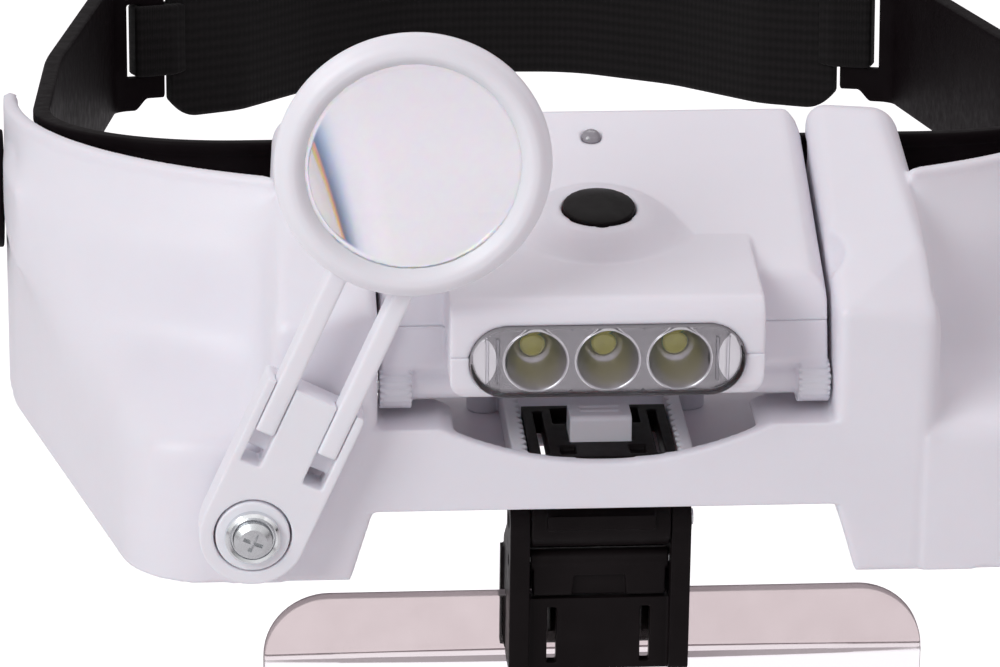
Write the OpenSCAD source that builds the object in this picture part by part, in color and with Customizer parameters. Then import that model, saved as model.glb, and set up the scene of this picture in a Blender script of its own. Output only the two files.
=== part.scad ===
// Lighted headband magnifier: a white visor that tilts on a black headband, with a lamp unit,
// a swinging loupe, and a lens plate in a holder that slides on a toothed track.
// Millimetres. +Z is up as worn, -Y is the way the wearer looks, +X is the wearer's left.
// The origin is the centre of the head loop.

/* [Headband] */
// distance from the loop's centre to the front of the band
band_front = 93.8; // [92.5:0.1:94.4]
// half width of the loop at the brow
band_half_w = 83.2; // [82.6:0.1:83.4]
// plan radius at the two front corners
band_corner_r = 30; // [28:1:34]
// height of the band and of its arms
band_h = 24; // [22:0.5:25]
// wall of the band
band_t = 2.2; // [1.8:0.1:2.4]
// raised rim along both edges of the band
rim_h = 2; // [1:0.5:4]
// how far the rim stands out
rim_out = 0.5; // [0.3:0.1:0.6]
// downward slope of the loop towards the back, in degrees
band_tilt = 8.9; // [8:0.1:9.5]
// length of the brow pad along the band
pad_len = 110; // [90:1:116]
// thickness of the brow pad
pad_t = 5; // [3:0.5:8]
// height of the brow pad
pad_h = 19; // [16:0.5:22]
// height of the strap slot in each arm
slot_h = 13.5; // [12:0.5:15]
// width of the strap slot
slot_w = 2.7; // [2.4:0.1:3.5]
// how far the slot lies above the middle of the band
slot_up = 0.8; // [0:0.1:1.2]
// how much lower than the band the end of each arm is, at each edge
tab_step = 2.1; // [1.5:0.1:3]

/* [Strap] */
// height of the wide part of the strap
strap_h = 28; // [24:0.5:32]
// thickness of the strap
strap_t = 1.8; // [1.4:0.1:2.4]
// distance from the loop's centre to the back of the strap
strap_back = 106; // [102:0.5:109]
// thickness of the folded ends
fold_t = 1.2; // [1:0.1:1.4]
// gap between the folded ends and the arm
fold_gap = 0.15; // [0.1:0.05:0.3]

/* [Visor] */
// half width of the visor at its ears
ear_x = 88.5; // [87.8:0.1:89]
// wall of the visor
wall = 2.2; // [2:0.1:2.4]
// front face, in front of the loop's centre
front_y = 140; // [139.5:0.1:140.5]
// lower edge, under the loop's centre
bottom_z = 25; // [24:0.5:27]
// height of the wing's top edge at the ear
top_ear_z = 24.6; // [24:0.1:25.2]
// height of the wing's top edge beside the pillar
top_mid_z = 28.4; // [27.8:0.1:29]
// how far the top edge runs forward of the ear
top_depth = 60.3; // [59:0.1:62]
// how far the face under the top edge stands out of it
brow_out = 6; // [4:0.5:7]
// height of the shelf that crosses the wing
shelf_z = 0; // [-1:0.5:1]
// height that the shelf takes
shelf_h = 7; // [6:0.5:9]
// width of each pillar
pillar_w = 16; // [15:0.5:17]
// gap between the lamp unit and each pillar
lamp_gap = 0.7; // [0.6:0.05:1.2]
// height of the pillars at the back
pillar_z = 33.2; // [32.8:0.1:34]
// fold of the pillars' top
fold_z = 19; // [18:0.5:20]
// lower edge of the bridge
bridge_z = 14; // [13.5:0.1:14.3]
// half width of the smile shaped opening
smile_w = 24.2; // [23:0.1:25]
// depth of the opening below the deck
smile_d = 5.7; // [5:0.1:6]

/* [Tilt pivot] */
// pivot, in front of the loop's centre
pivot_y = 62; // [61:0.5:63]
// pivot height
pivot_z = 8.6; // [8:0.1:9.5]
// bolt radius
bolt_r = 2.5; // [2:0.25:3]
// running clearance of a pin in its bore
run_gap = 0.05; // [0.03:0.01:0.08]
// radius of the clamp knob
knob_r = 10.5; // [9.5:0.5:11]
// length of the clamp knob
knob_l = 9.5; // [9:0.5:11]

/* [Lamp unit] */
// half width of the lamp unit
lamp_w = 32.8; // [32.2:0.1:33]
// back of the lamp unit's top
lamp_back = 95; // [94.6:0.1:96]
// height of its top at the back
lamp_z = 32.7; // [32.2:0.1:33]
// slope of its top, in degrees
lamp_slope = 20.5; // [19.5:0.5:21]
// wall of the lamp covers
lamp_wall = 1.8; // [1.5:0.1:2]
// underside of the lamp unit
lamp_low = 1.6; // [1.4:0.1:2]
// half width of the light box
box_w = 22.8; // [22:0.1:23]
// how far the light box stands out of the visor's front
box_out = 6; // [5.6:0.1:7]
// sideways place of the light box
box_x = -0.7; // [-1:0.1:0]
// top of the light box
box_top = 20.6; // [20.2:0.1:22]
// underside of the light box
box_low = 5.6; // [5.2:0.1:6]
// height of the parting line
part_z = 12.6; // [12:0.1:13]
// length of the clear window
win_w = 40; // [39:0.1:41]
// height of the clear window
win_h = 10.8; // [10.6:0.1:11.2]
// distance between the lamps
led_pitch = 10.4; // [10.2:0.1:10.8]
// radius of the reflector cups
cup_r = 4.4; // [4.2:0.1:4.4]
// depth of the reflector cups
cup_d = 7; // [6:0.5:7.5]
// hinge of the lamp unit, behind the visor's front
hinge_back = 6; // [5.6:0.1:6.2]
// height of that hinge
hinge_z = 3.6; // [3.5:0.1:3.8]
// radius of the ribbed hinge barrels
barrel_r = 3.1; // [2.9:0.1:3.2]
// radius of the hinge pins
hinge_r = 1; // [0.8:0.1:1.2]
// power button, in front of the loop's centre
button_y = 120; // [119.5:0.1:120.5]
// radius of the power button
button_r = 5.35; // [5:0.05:5.4]
// height of the button's mound above the cover
mound_h = 2.9; // [2.6:0.1:3.1]
// how much flatter than the cover the mound lies, in degrees
mound_tilt = 11.5; // [10:0.5:12]
// travel of the power button
button_travel = 0.6; // [0.4:0.1:0.7]

/* [Loupe] */
// loupe pivot, to the wearer's right of the middle
loupe_x = 52; // [51.5:0.1:53]
// height of the loupe pivot, under the loop's centre
loupe_z = 14.4; // [14:0.1:15]
// lean of the loupe arm from upright, in degrees
loupe_lean = 23.7; // [22:0.1:25]
// width of the loupe's base arm
arm_w = 15.6; // [15:0.2:17]
// length of the base arm from its pivot
arm_l = 23.3; // [22:0.1:25]
// thickness of the base arm
arm_t = 5.6; // [5.4:0.1:6]
// half distance between the loupe's rods
rod_x = 4.85; // [4.6:0.05:5]
// width of a rod
rod_w = 2.9; // [2.6:0.1:3.1]
// thickness of a rod
rod_t = 3; // [2.8:0.1:3.2]
// distance from the pivot to the ring's centre
ring_l = 62.2; // [60:0.1:66]
// the ring's offset across the arm
ring_off = 2.4; // [1:0.1:3]
// outer radius of the ring
ring_r = 19.8; // [19:0.1:21]
// radius of the ring's opening
ring_in = 14.8; // [14.4:0.1:15.2]
// thickness of the ring
ring_t = 4.4; // [4:0.1:5]
// crown of each face of the loupe lens
loupe_crown = 1.3; // [0.8:0.1:1.6]

/* [Track and carriage] */
// half width between the rack teeth
rack_x = 10.95; // [10.7:0.05:11.1]
// pitch of the rack teeth
tooth = 2; // [1.6:0.1:2.5]
// depth of the rack teeth
tooth_d = 0.8; // [0.6:0.1:0.9]
// length of the track
track_l = 36; // [36:0.5:37]
// length of the carriage
carriage_l = 20; // [19:0.5:21]
// height of the carriage above the track's floor
carriage_h = 3.8; // [3.6:0.1:4]
// travel of the carriage
carriage_travel = 12; // [8:0.5:12]

/* [Lens holder] */
// holder hinge, behind the visor's front
flip_back = 9; // [8.6:0.1:9.2]
// height of the holder hinge, under the loop's centre
flip_z = 19.5; // [19.3:0.1:19.8]
// half width between the holder's cheeks
cheek_in = 10.5; // [10.3:0.1:10.8]
// thickness of a cheek
cheek_t = 3; // [2.8:0.1:3.2]
// lower end of the holder
holder_z = 43.2; // [42.8:0.1:43.5]
// width of the finger notch in the lever
notch_w = 8.4; // [7:0.1:9]

/* [Lens plate] */
// width of the lens plate
plate_w = 99.8; // [98:0.2:102]
// height of the lens plate
plate_h = 35; // [34:0.5:38]
// top edge of the lens plate, under the loop's centre
plate_z = 33.6; // [33.4:0.1:34]
// thickness of the plate's tab
plate_t = 2.4; // [2.2:0.1:2.5]
// corner radius of the plate
plate_r = 10; // [8:0.5:12]
// crown of each face of the lens
lens_crown = 1.4; // [1:0.1:1.8]
// height of the tab above the lens
tab_h = 10.2; // [10.1:0.1:10.8]

/* [Hidden] */
$fn = 48;
eps = 0.01;
white = [0.94, 0.94, 0.95];
black = [0.07, 0.07, 0.075];
steel = [0.75, 0.76, 0.78];

// Blending and plan curves
function smooth(t) = let (c = max(0, min(1, t))) c * c * (3 - 2 * c);
function mix(a, b, t) = a + (b - a) * t;
function unit(v) = v / norm(v);
function turn(a) = a > 180 ? a - 360 : (a < -180 ? a + 360 : a);
// an arc of radius r in the corner b between a and c
function corner(a, b, c, r, n) =
    let (u = unit(a - b), v = unit(c - b), half = acos(u * v) / 2)
    let (m = b + unit(u + v) * (r / sin(half)))
    let (p = b + u * (r / tan(half)), q = b + v * (r / tan(half)))
    let (a0 = atan2(p.y - m.y, p.x - m.x), a1 = atan2(q.y - m.y, q.x - m.x))
    [for (i = [0:n]) m + r * [cos(a0 + turn(a1 - a0) * i / n), sin(a0 + turn(a1 - a0) * i / n)]];
// an open path through corners [x, y, radius]
function rounded(pts, n = 6) = [for (i = [0:len(pts) - 1])
    let (b = [pts[i].x, pts[i].y])
    each (i == 0 || i == len(pts) - 1 || pts[i].z == 0 ? [b]
        : corner([pts[i - 1].x, pts[i - 1].y], b, [pts[i + 1].x, pts[i + 1].y], pts[i].z, n))];
// a closed outline through corners [x, y, radius]
function outline(pts, n = 6) = let (k = len(pts)) [for (i = [0:k - 1])
    let (a = pts[(i + k - 1) % k], b = pts[i], c = pts[(i + 1) % k])
    each (b.z == 0 ? [[b.x, b.y]] : corner([a.x, a.y], [b.x, b.y], [c.x, c.y], b.z, n))];
function flip(pts) = [for (i = [len(pts) - 1:-1:0]) [-pts[i].x, pts[i].y]];
function backwards(pts) = [for (i = [len(pts) - 1:-1:0]) pts[i]];
// a path moved sideways by d
function beside(pts, d) = [for (i = [0:len(pts) - 1])
    let (t = unit(pts[min(i + 1, len(pts) - 1)] - pts[max(i - 1, 0)])) pts[i] + d * [t.y, -t.x]];
function wall_of(pts, a, b) = concat(beside(pts, a), backwards(beside(pts, b)));
function along(pts) = [for (i = 0, s = 0; i < len(pts);
    s = s + (i < len(pts) - 1 ? norm(pts[i + 1] - pts[i]) : 0), i = i + 1) s];
// the point at share f of a path's length
function at(pts, f) =
    let (s = along(pts), d = f * s[len(s) - 1])
    let (k = min(len(pts) - 2, max([for (i = [0:len(pts) - 1]) s[i] <= d ? i : 0])))
    mix(pts[k], pts[k + 1], (d - s[k]) / (s[k + 1] - s[k]));

// Headband: half of its plan, from the middle of the brow to the end of an arm
arm_end = [61.9, 62.3];
arm_bend = [71.5, 59];
arm_dir = unit(arm_end - arm_bend);
arm_turn = atan2(-arm_dir.x, arm_dir.y);
arm_run = rounded([[0, -band_front, 0], [band_half_w, -band_front, band_corner_r],
    [80.6, -20, 150], [arm_bend.x, arm_bend.y, 5], [arm_end.x, arm_end.y, 0]], 8);
band_path = concat(flip(arm_run), [for (i = [1:len(arm_run) - 1]) arm_run[i]]);
slot_at = 5.9;
slot_c = arm_end - slot_at * arm_dir;
arm_x_out = 82.1 + band_t / 2;
boss_out = 84.8;
washer_t = 0.8;
ear_in = boss_out + washer_t + 0.05;
boss_r = 9;
strap_start = arm_end + arm_dir;
strap_run = rounded([[0, strap_back, 0], [16, strap_back - 1, 20], [34, strap_back - 16, 30],
    [48, strap_back - 36, 12], [strap_start.x, strap_start.y, 0]], 6);
strap_path = concat(flip(strap_run), [for (i = [1:len(strap_run) - 1]) strap_run[i]]);

// Wing of the visor: three plan curves of one half, from the ear to the pillar
pillar_in = lamp_w + lamp_gap;
pillar_out = pillar_in + pillar_w;
ear_back = 48.5;
ear_run = 0.12;
wing_in = pillar_out - 2;
ellipse_end = asin(wing_in / ear_x);
ear_front = 63;
foot_path = rounded([[ear_x - 0.2, -ear_front, 0], [ear_x - 1.3, -71, 30],
    [68.2, -front_y, 13], [wing_in, -front_y, 0]], 6);
foot_in = beside(foot_path, wall);
function ear_pt(u, off) = [ear_x - 0.2 - off, -mix(ear_back - 3, ear_front, u / ear_run)];
function foot_pt(u, off) = u < ear_run ? ear_pt(u, off)
    : at(off > 0 ? foot_in : foot_path, (u - ear_run) / (1 - ear_run));
function brow_pt(u, out, off) = u < ear_run ? ear_pt(u, off)
    : let (f = (u - ear_run) / (1 - ear_run), t = mix(90, ellipse_end, f))
      let (n = unit([sin(t) / ear_x, -cos(t) / top_depth]), e = out * smooth(f / 0.55) - off)
      let (base = [(ear_x - 0.2) * sin(t), -ear_front - top_depth * cos(t)])
      [f > 0.97 ? wing_in : max(wing_in, base.x + n.x * e), base.y + n.y * e];
function top_z(u) = mix(top_ear_z, top_mid_z, max(0, (u - ear_run) / (1 - ear_run)));
function shelf_low(u) = shelf_z - shelf_h / 2;
function shelf_high(u) = mix(shelf_z + 12, shelf_z + shelf_h / 2, smooth((u - ear_run) / 0.55));
band_low = 9;
band_high = 4.5;
function wing_pt(u, z, off) =
    let (z1 = z + off, lo = shelf_low(u), hi = shelf_high(u), t0 = top_z(u) - band_low)
    let (a = smooth((z1 - lo) / (hi - lo)), b = smooth((z1 - t0) / (band_low - band_high)))
    let (p = mix(mix(foot_pt(u, off), brow_pt(u, brow_out, off), a), brow_pt(u, 0, off), b))
    [p.x, p.y, z];
shelf_steps = [0, 0.15, 0.3, 0.42, 0.5, 0.58, 0.7, 0.85, 1];
band_steps = [0, 0.3, 0.5, 0.7, 1];
function wing_rows(u) =
    let (lo = shelf_low(u), hi = shelf_high(u), t0 = top_z(u) - band_low)
    concat([-bottom_z, -bottom_z / 2], [for (k = shelf_steps) mix(lo, hi, k)],
        [for (k = band_steps) t0 + k * (band_low - band_high)], [top_z(u)]);
wing_cols = concat([0, ear_run / 2], [for (i = [0:26]) ear_run + (1 - ear_run) * i / 26]);
wing_n = len(wing_cols);
wing_m = len(wing_rows(0));
wing_points = concat(
    [for (u = wing_cols) for (z = wing_rows(u)) wing_pt(u, z, 0)],
    [for (u = wing_cols) let (r = wing_rows(u)) for (j = [0:wing_m - 1])
        wing_pt(u, (j == 0 || j == wing_m - 1) ? r[j] : r[j] - wall, wall)]);
function wing_id(s, i, j) = s * wing_n * wing_m + i * wing_m + j;
// two triangles between four points of the grid
function quad(a, b, c, d) = [[a, b, c], [a, c, d]];
wing_faces = concat(
    [for (i = [0:wing_n - 2]) for (j = [0:wing_m - 2]) each concat(
        quad(wing_id(0, i, j), wing_id(0, i + 1, j), wing_id(0, i + 1, j + 1), wing_id(0, i, j + 1)),
        quad(wing_id(1, i, j), wing_id(1, i, j + 1), wing_id(1, i + 1, j + 1), wing_id(1, i + 1, j)))],
    [for (i = [0:wing_n - 2]) each concat(
        quad(wing_id(0, i, 0), wing_id(1, i, 0), wing_id(1, i + 1, 0), wing_id(0, i + 1, 0)),
        quad(wing_id(0, i, wing_m - 1), wing_id(0, i + 1, wing_m - 1),
            wing_id(1, i + 1, wing_m - 1), wing_id(1, i, wing_m - 1)))],
    [for (j = [0:wing_m - 2]) each concat(
        quad(wing_id(0, 0, j), wing_id(0, 0, j + 1), wing_id(1, 0, j + 1), wing_id(1, 0, j)),
        quad(wing_id(0, wing_n - 1, j), wing_id(1, wing_n - 1, j),
            wing_id(1, wing_n - 1, j + 1), wing_id(0, wing_n - 1, j + 1)))]);
// side outline of the ear, in [y, z]
ear_side = outline([[-170, -bottom_z, 0], [-62, -bottom_z, 9], [-ear_back, -8, 10],
    [-ear_back, 16, 9], [-60, top_ear_z - 1, 10], [-76, top_ear_z + 1, 0], [-78, 60, 0], [-170, 60, 0]]);

// Pillars and lamp unit
pillar_back = 99.5;
fold_y = front_y - 3;
scallop_r = 6.5;
scallop_in = 3.9;
scallop_y = front_y - 12.4;
scallop_z = fold_z + 3.8;
smile_r = (smile_w * smile_w + smile_d * smile_d) / (2 * smile_d);
deck_z = -1;
deck_back = front_y - 12;
floor_t = 2;
box_front = front_y + box_out;
hinge_y = front_y - hinge_back;
lamp_fold = lamp_back + 36;
lamp_fold_z = lamp_z - 36 * tan(lamp_slope);
// back corner of the cover in the middle of the band's height
lamp_foot = 4;
button_z = lamp_z - (button_y - lamp_back) * tan(lamp_slope);
indicator_x = 0.5;
indicator_y = lamp_back + 6.6;
// flank of the button's mound, [radius, height]
mound = [[6.3, 0], [7.3, -0.2], [8.3, -0.6], [9.4, -1.2], [10.6, -1.9], [11.8, -2.55], [13, -3.05],
    [14.5, -3.5], [16, -3.8]];
win_z = 11.9;
win_out = 1;
win_t = 2.2;
barrel_in = 28.4;
spigot_r = 1.9;
hinge_len = 12;
win_skirt = 0.6;
cup_front = box_front + win_out - 1.55;
board_drop = 11.2;
board_t = 1.6;
board_y = [-11.2, 17];
board_screw_y = [-8, 14];
board_screw_l = 3.4;
boss_x = 27;
boss_y = lamp_back + 9;
battery_y = lamp_back + 19;
battery_h = 6;

// Loupe
loupe_y = front_y + 1;
arm_front = loupe_y + 0.05 + arm_t;
rod_front = arm_front + 0.3;
groove_gap = 0.08;
groove_low = 10.3;
rod_low = 15.5;
ring_y = rod_front + 0.1 + ring_t / 2;

// Track, carriage and holder
track_front = front_y - wall - 0.1;
floor_z = bridge_z - floor_t;
track_floor = floor_z - 1.4;
leg_x = 8;
leg_gap = 0.4;
rail_x = rack_x + tooth_d;
rail_out = 13.4;
carriage_front = track_front - 0.3;
carriage_z = track_floor - 0.08;
flip_y = front_y - flip_back;
leg_y = [flip_y - 1.7, flip_y + 4.6];
knuckle_r = 4.1;
cheek_r = 3.7;
cheek_out = cheek_in + cheek_t;
flip_pin_r = 1.2;
cheek_front = front_y - 5.4;
cheek_back = front_y - 18.4;
tab_y = front_y - 14;
tab_slot = plate_t + 0.24;
tab_back = tab_y - plate_t / 2;
plate_top = -plate_z;
lever_y = front_y - 8.4;
lever_z = 25.8;
lever_pin_r = 0.8;
lever_low = 31.2;
latch_w = 9.2;
latch_y = [front_y - 15, front_y - 8.7];

// Shared shapes
module loop_frame() { rotate([-band_tilt, 0, 0]) children(); }
module pair() { children(); mirror([1, 0, 0]) children(); }
// a cylinder along X from x0 to x1, at y and z
module along_x(x0, x1, y, z, r) {
    translate([x0, y, z]) rotate([0, 90, 0]) cylinder(h = x1 - x0, r = r);
}
// a cylinder along Y from y0 to y1, at x and z
module along_y(y0, y1, x, z, r) {
    translate([x, y0, z]) rotate([-90, 0, 0]) cylinder(h = y1 - y0, r = r);
}
// an outline in [y, z] drawn along X from x0 to x1
module side_prism(x0, x1, pts) {
    translate([x0, 0, 0]) rotate([90, 0, 90]) linear_extrude(x1 - x0) polygon(pts);
}
// an outline in [x, z] drawn along Y from y0 to y1
module front_prism(y0, y1, pts) {
    translate([0, y1, 0]) rotate([90, 0, 0]) linear_extrude(y1 - y0) polygon(pts);
}
module block(x0, x1, y0, y1, z0, z1) { translate([x0, y0, z0]) cube([x1 - x0, y1 - y0, z1 - z0]); }
// outline of a lens, [radius, height], with both faces crowned over a rim of thickness t
function lens_outline(r, t, crown, n = 10) = concat([[0, -t / 2 - crown]],
    [for (i = [1:n]) [r * i / n, -t / 2 - crown * (1 - pow(i / n, 2))]],
    [for (i = [n:-1:1]) [r * i / n, t / 2 + crown * (1 - pow(i / n, 2))]], [[0, t / 2 + crown]]);
// a bar with round ends, w by h, in the XZ plane, from y0 to y1
module stadium(y0, y1, z, w, h) {
    block(-w / 2 + h / 2, w / 2 - h / 2, y0, y1, z - h / 2, z + h / 2);
    for (s = [-1, 1]) along_y(y0, y1, s * (w / 2 - h / 2), z, h / 2);
}
module screw(len, r, head_r, head_h) {
    cylinder(h = len, r = r);
    translate([0, 0, -head_h]) cylinder(h = head_h, r = head_r);
}
module top_frame() { translate([0, -button_y, button_z]) rotate([lamp_slope, 0, 0]) children(); }
module button_frame() { top_frame() translate([0, 0, mound_h]) rotate([-mound_tilt, 0, 0]) children(); }
module loupe_frame() { translate([-loupe_x, 0, -loupe_z]) rotate([0, loupe_lean, 0]) children(); }
module strap_end_frame() {
    translate([slot_c.x, slot_c.y, 0]) rotate([0, 0, arm_turn]) children();
}

// Head loop
module headband_frame() {
    color(black) difference() {
        union() {
            loop_frame() {
                translate([0, 0, -band_h / 2]) linear_extrude(band_h)
                    polygon(wall_of(band_path, band_t / 2, -band_t / 2));
                for (z = [-band_h / 2, band_h / 2 - rim_h]) translate([0, 0, z])
                    linear_extrude(rim_h)
                        polygon(wall_of(band_path, band_t / 2 + rim_out, -band_t / 2));
            }
            pair() along_x(arm_x_out - band_t, boss_out, -pivot_y, pivot_z, boss_r);
        }
        pair() along_x(arm_x_out - band_t, 90, -pivot_y, pivot_z, bolt_r);
        // flat for the head of the bolt
        pair() along_x(arm_x_out - band_t - 10, arm_x_out - band_t, -pivot_y, pivot_z, boss_r - 2.5);
        loop_frame() pair() strap_end_frame()
            block(-4, 4, -slot_w / 2, slot_w / 2, slot_up - slot_h / 2, slot_up + slot_h / 2);
        // the end of the arm is a little lower than the band
        loop_frame() pair() strap_end_frame() for (s = [-1, 1]) scale([1, 1, s]) rotate([90, 0, 90])
            linear_extrude(12, center = true) polygon([[0, band_h], [0, band_h / 2],
                [slot_w, band_h / 2 - tab_step], [slot_at + 1, band_h / 2 - tab_step],
                [slot_at + 1, band_h]]);
    }
}
module brow_pad() {
    half = [for (p = arm_run) if (p.y < -40) p];
    f = pad_len / 2 / along(half)[len(half) - 1];
    run = [for (i = [0:16]) at(half, f * i / 16)];
    path = concat(flip(run), [for (i = [1:16]) run[i]]);
    color([0.16, 0.16, 0.17]) loop_frame() union() {
        translate([0, 0, -pad_h / 2]) linear_extrude(pad_h)
            polygon(wall_of(path, -band_t / 2, -band_t / 2 - pad_t * 0.6));
        translate([0, 0, -pad_h / 2 + 2]) linear_extrude(pad_h - 4)
            polygon(wall_of(path, -band_t / 2, -band_t / 2 - pad_t));
    }
}
module elastic_strap() {
    leg_in = band_t / 2 + fold_gap;
    leg_out = leg_in + fold_t;
    bar = slot_at - slot_w / 2;
    color([0.05, 0.05, 0.05]) loop_frame() union() {
        translate([0, 0, -strap_h / 2]) linear_extrude(strap_h)
            polygon(wall_of(strap_path, strap_t / 2, -strap_t / 2));
        pair() strap_end_frame() translate([0, 0, slot_up - slot_h / 2 + 0.3]) linear_extrude(slot_h - 0.6)
            difference() {
                polygon(outline([[-leg_out, slot_w / 2 - fold_gap - fold_t, 0.8],
                    [leg_out, slot_w / 2 - fold_gap - fold_t, 0.8], [leg_out, slot_at + 1.6, 1],
                    [strap_t / 2, slot_at + 4, 0], [-strap_t / 2, slot_at + 4, 0],
                    [-leg_out, slot_at + 1.6, 1]], 4));
                translate([-leg_in, slot_w / 2 - fold_gap])
                    square([2 * leg_in, bar + 2 * fold_gap]);
            }
    }
}
module pivot_bolts() {
    color(steel) pair() {
        along_x(arm_x_out - band_t - 1.8, arm_x_out - band_t, -pivot_y, pivot_z, 5.5);
        along_x(arm_x_out - band_t - 0.5, ear_x + knob_l - 1.5, -pivot_y, pivot_z, bolt_r);
    }
}
module pivot_washers() {
    color([0.2, 0.2, 0.2]) pair() difference() {
        along_x(boss_out, boss_out + washer_t, -pivot_y, pivot_z, boss_r - 1);
        along_x(boss_out - 1, boss_out + washer_t + 1, -pivot_y, pivot_z, bolt_r);
    }
}
module clamp_knob() {
    x0 = ear_x + 0.1;
    color(black) difference() {
        union() {
            along_x(x0, x0 + 1.6, -pivot_y, pivot_z, knob_r - 1.2);
            translate([x0 + 1.6, -pivot_y, pivot_z]) rotate([0, 90, 0]) rotate_extrude()
                polygon([[0, 0], [knob_r, 0], [knob_r, knob_l - 4], [knob_r - 1.4, knob_l - 2],
                    [knob_r - 3, knob_l - 1.6], [0, knob_l - 1.6]]);
        }
        along_x(x0 - 1, ear_x + knob_l - 1.2, -pivot_y, pivot_z, bolt_r + run_gap);
        translate([x0, -pivot_y, pivot_z]) for (a = [0:30:330]) rotate([a, 0, 0])
            translate([1.6, 0, knob_r + 0.9]) rotate([0, 90, 0]) cylinder(h = knob_l, r = 1.5);
    }
}
module clamp_knob_left() { mirror([1, 0, 0]) clamp_knob(); }
module clamp_knob_right() { clamp_knob(); }

// Visor
module wing() {
    intersection() {
        polyhedron(points = wing_points, faces = wing_faces, convexity = 6);
        side_prism(0, 100, ear_side);
    }
}
// smooth outer form of a pillar
module pillar_form() {
    r = 4.5;
    ri = 3;
    rf = 3.6;
    back = pillar_back - 5;
    hull() {
        translate([pillar_in + ri, -back - ri, pillar_z - ri]) sphere(ri, $fn = 24);
        translate([pillar_out - 2 - r, -back - r, pillar_z - r]) sphere(r, $fn = 24);
        for (z = [fold_z - 2, -bottom_z - 8]) {
            translate([pillar_in + 1.6, -front_y + 1.6, z - 1.6]) sphere(1.6, $fn = 20);
            translate([pillar_out - rf, -front_y + rf, z - rf]) sphere(rf, $fn = 20);
        }
        translate([pillar_in + 1.6, -fold_y + rf + 6, fold_z - 0.6]) sphere(1.6, $fn = 20);
        translate([pillar_out - rf, -fold_y + rf + 6, fold_z - 0.6]) sphere(rf, $fn = 20);
        block(pillar_in, pillar_out - 1, -front_y + 12, -96, -bottom_z - 8, -bottom_z - 7);
    }
}
module pillar() {
    difference() {
        pillar_form();
        side_prism(pillar_in + wall, pillar_out - wall - 1, [[-front_y + wall, -60],
            [-front_y + wall, fold_z - 6], [-fold_y + 5, fold_z - 3.6],
            [-pillar_back + 2.5, pillar_z - wall - 2.3], [-80, pillar_z - wall - 2.3], [-80, -60]]);
        side_prism(20, 60, [[-pillar_back, -60], [-pillar_back, 27.5], [-80, 27.5], [-80, -60]]);
        block(20, 60, -front_y - 10, -90, -60, -bottom_z);
        // finger scallop on the inner edge of the top
        translate([pillar_in - scallop_in, -scallop_y, scallop_z]) sphere(r = scallop_r, $fn = 48);
    }
}
module visor_shell() {
    color(white) difference() {
        union() {
            pair() wing();
            pair() pillar();
            pair() along_x(ear_in, ear_x - 0.3, -pivot_y, pivot_z, boss_r);
            // bridge: front wall, deck and floor
            block(-pillar_in - 1, pillar_in + 1, -front_y, -front_y + wall, -bridge_z, deck_z);
            pair() block(smile_w - 2, pillar_in + 1, -front_y, -deck_back, deck_z - 2, deck_z);
            block(-pillar_in - 1, pillar_in + 1, -front_y + 1, -track_front + track_l + 2,
                -bridge_z, -floor_z);
            // walls that carry the floor at the back
            pair() side_prism(pillar_in, pillar_in + wall, [[-front_y + 4, -bridge_z],
                [-pillar_back, -bridge_z], [-pillar_back, 4], [-front_y + 4, 4]]);
            // boss under the loupe's pivot
            along_y(-loupe_y, -front_y + 9, -loupe_x, -loupe_z, 6.4);
        }
        pair() along_x(80, 95, -pivot_y, pivot_z, bolt_r + run_gap);
        // smile shaped opening, between the pillars
        intersection() {
            along_y(-front_y - 5, -deck_back + 5, 0, deck_z - smile_d + smile_r, smile_r);
            block(-pillar_in + 0.3, pillar_in - 0.3, -front_y - 6, -deck_back + 6,
                deck_z - smile_d - 1, deck_z + 9);
        }
        // slot for the carriage's leg
        block(-leg_x - leg_gap, leg_x + leg_gap, -leg_y[1] - leg_gap,
            -leg_y[0] + carriage_travel + leg_gap, -bridge_z - 1, -floor_z + 1);
        // corners under the bridge
        pair() front_prism(-front_y - 5, -front_y + 60, [[30, -bottom_z - 1],
            [pillar_in + 4.2, -bottom_z - 1], [pillar_in + 0.6, -bridge_z], [30, -bridge_z]]);
        pair() along_x(pillar_in - 3, pillar_in + wall + 2, -hinge_y, hinge_z, hinge_r);
        along_y(-loupe_y - 1, -front_y + 8, -loupe_x, -loupe_z, 1.5);
        for (s = [-1, 1]) translate([s * 15.6, -track_front + track_l - 4, -bridge_z - 1])
            cylinder(h = 4, r = 1.3);
    }
}

// Toothed track for the carriage
module rack_track() {
    y0 = -track_front;
    y1 = y0 + track_l;
    n = floor((track_l - 8) / tooth);
    color([0.9, 0.9, 0.88]) difference() {
        union() {
            block(-rail_out, rail_out, y0, y1, -floor_z, -track_floor);
            pair() block(rail_x, rail_out, y0, y1, -floor_z, -track_floor + carriage_h);
            // rack teeth over the carriage's tongues
            pair() translate([0, 0, -track_floor + 2]) linear_extrude(carriage_h - 2)
                for (i = [0:n - 1]) translate([rail_x + eps, y0 + 2 + i * tooth])
                    polygon([[0, 0], [-tooth_d, tooth * 0.5], [-tooth_d, tooth * 0.62], [0, tooth * 0.9]]);
            block(-rail_out, rail_out, y1 - 3, y1, -floor_z, -track_floor + carriage_h);
            for (s = [-1, 1]) translate([s * 15.6, y1 - 4, -floor_z]) cylinder(h = 5, r = 2.6);
        }
        block(-leg_x - leg_gap, leg_x + leg_gap, y0 - 1,
            -leg_y[0] + carriage_travel + leg_gap, -floor_z - 1, -track_floor + 1);
        for (s = [-1, 1]) translate([s * 15.6, y1 - 4, -floor_z - 1]) cylinder(h = 5, r = 1);
    }
}
module track_screws() {
    color(steel) for (s = [-1, 1])
        translate([s * 15.6, -track_front + track_l - 4, -bridge_z]) screw(floor_t + 4, 1, 2.1, 1.2);
}
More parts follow.
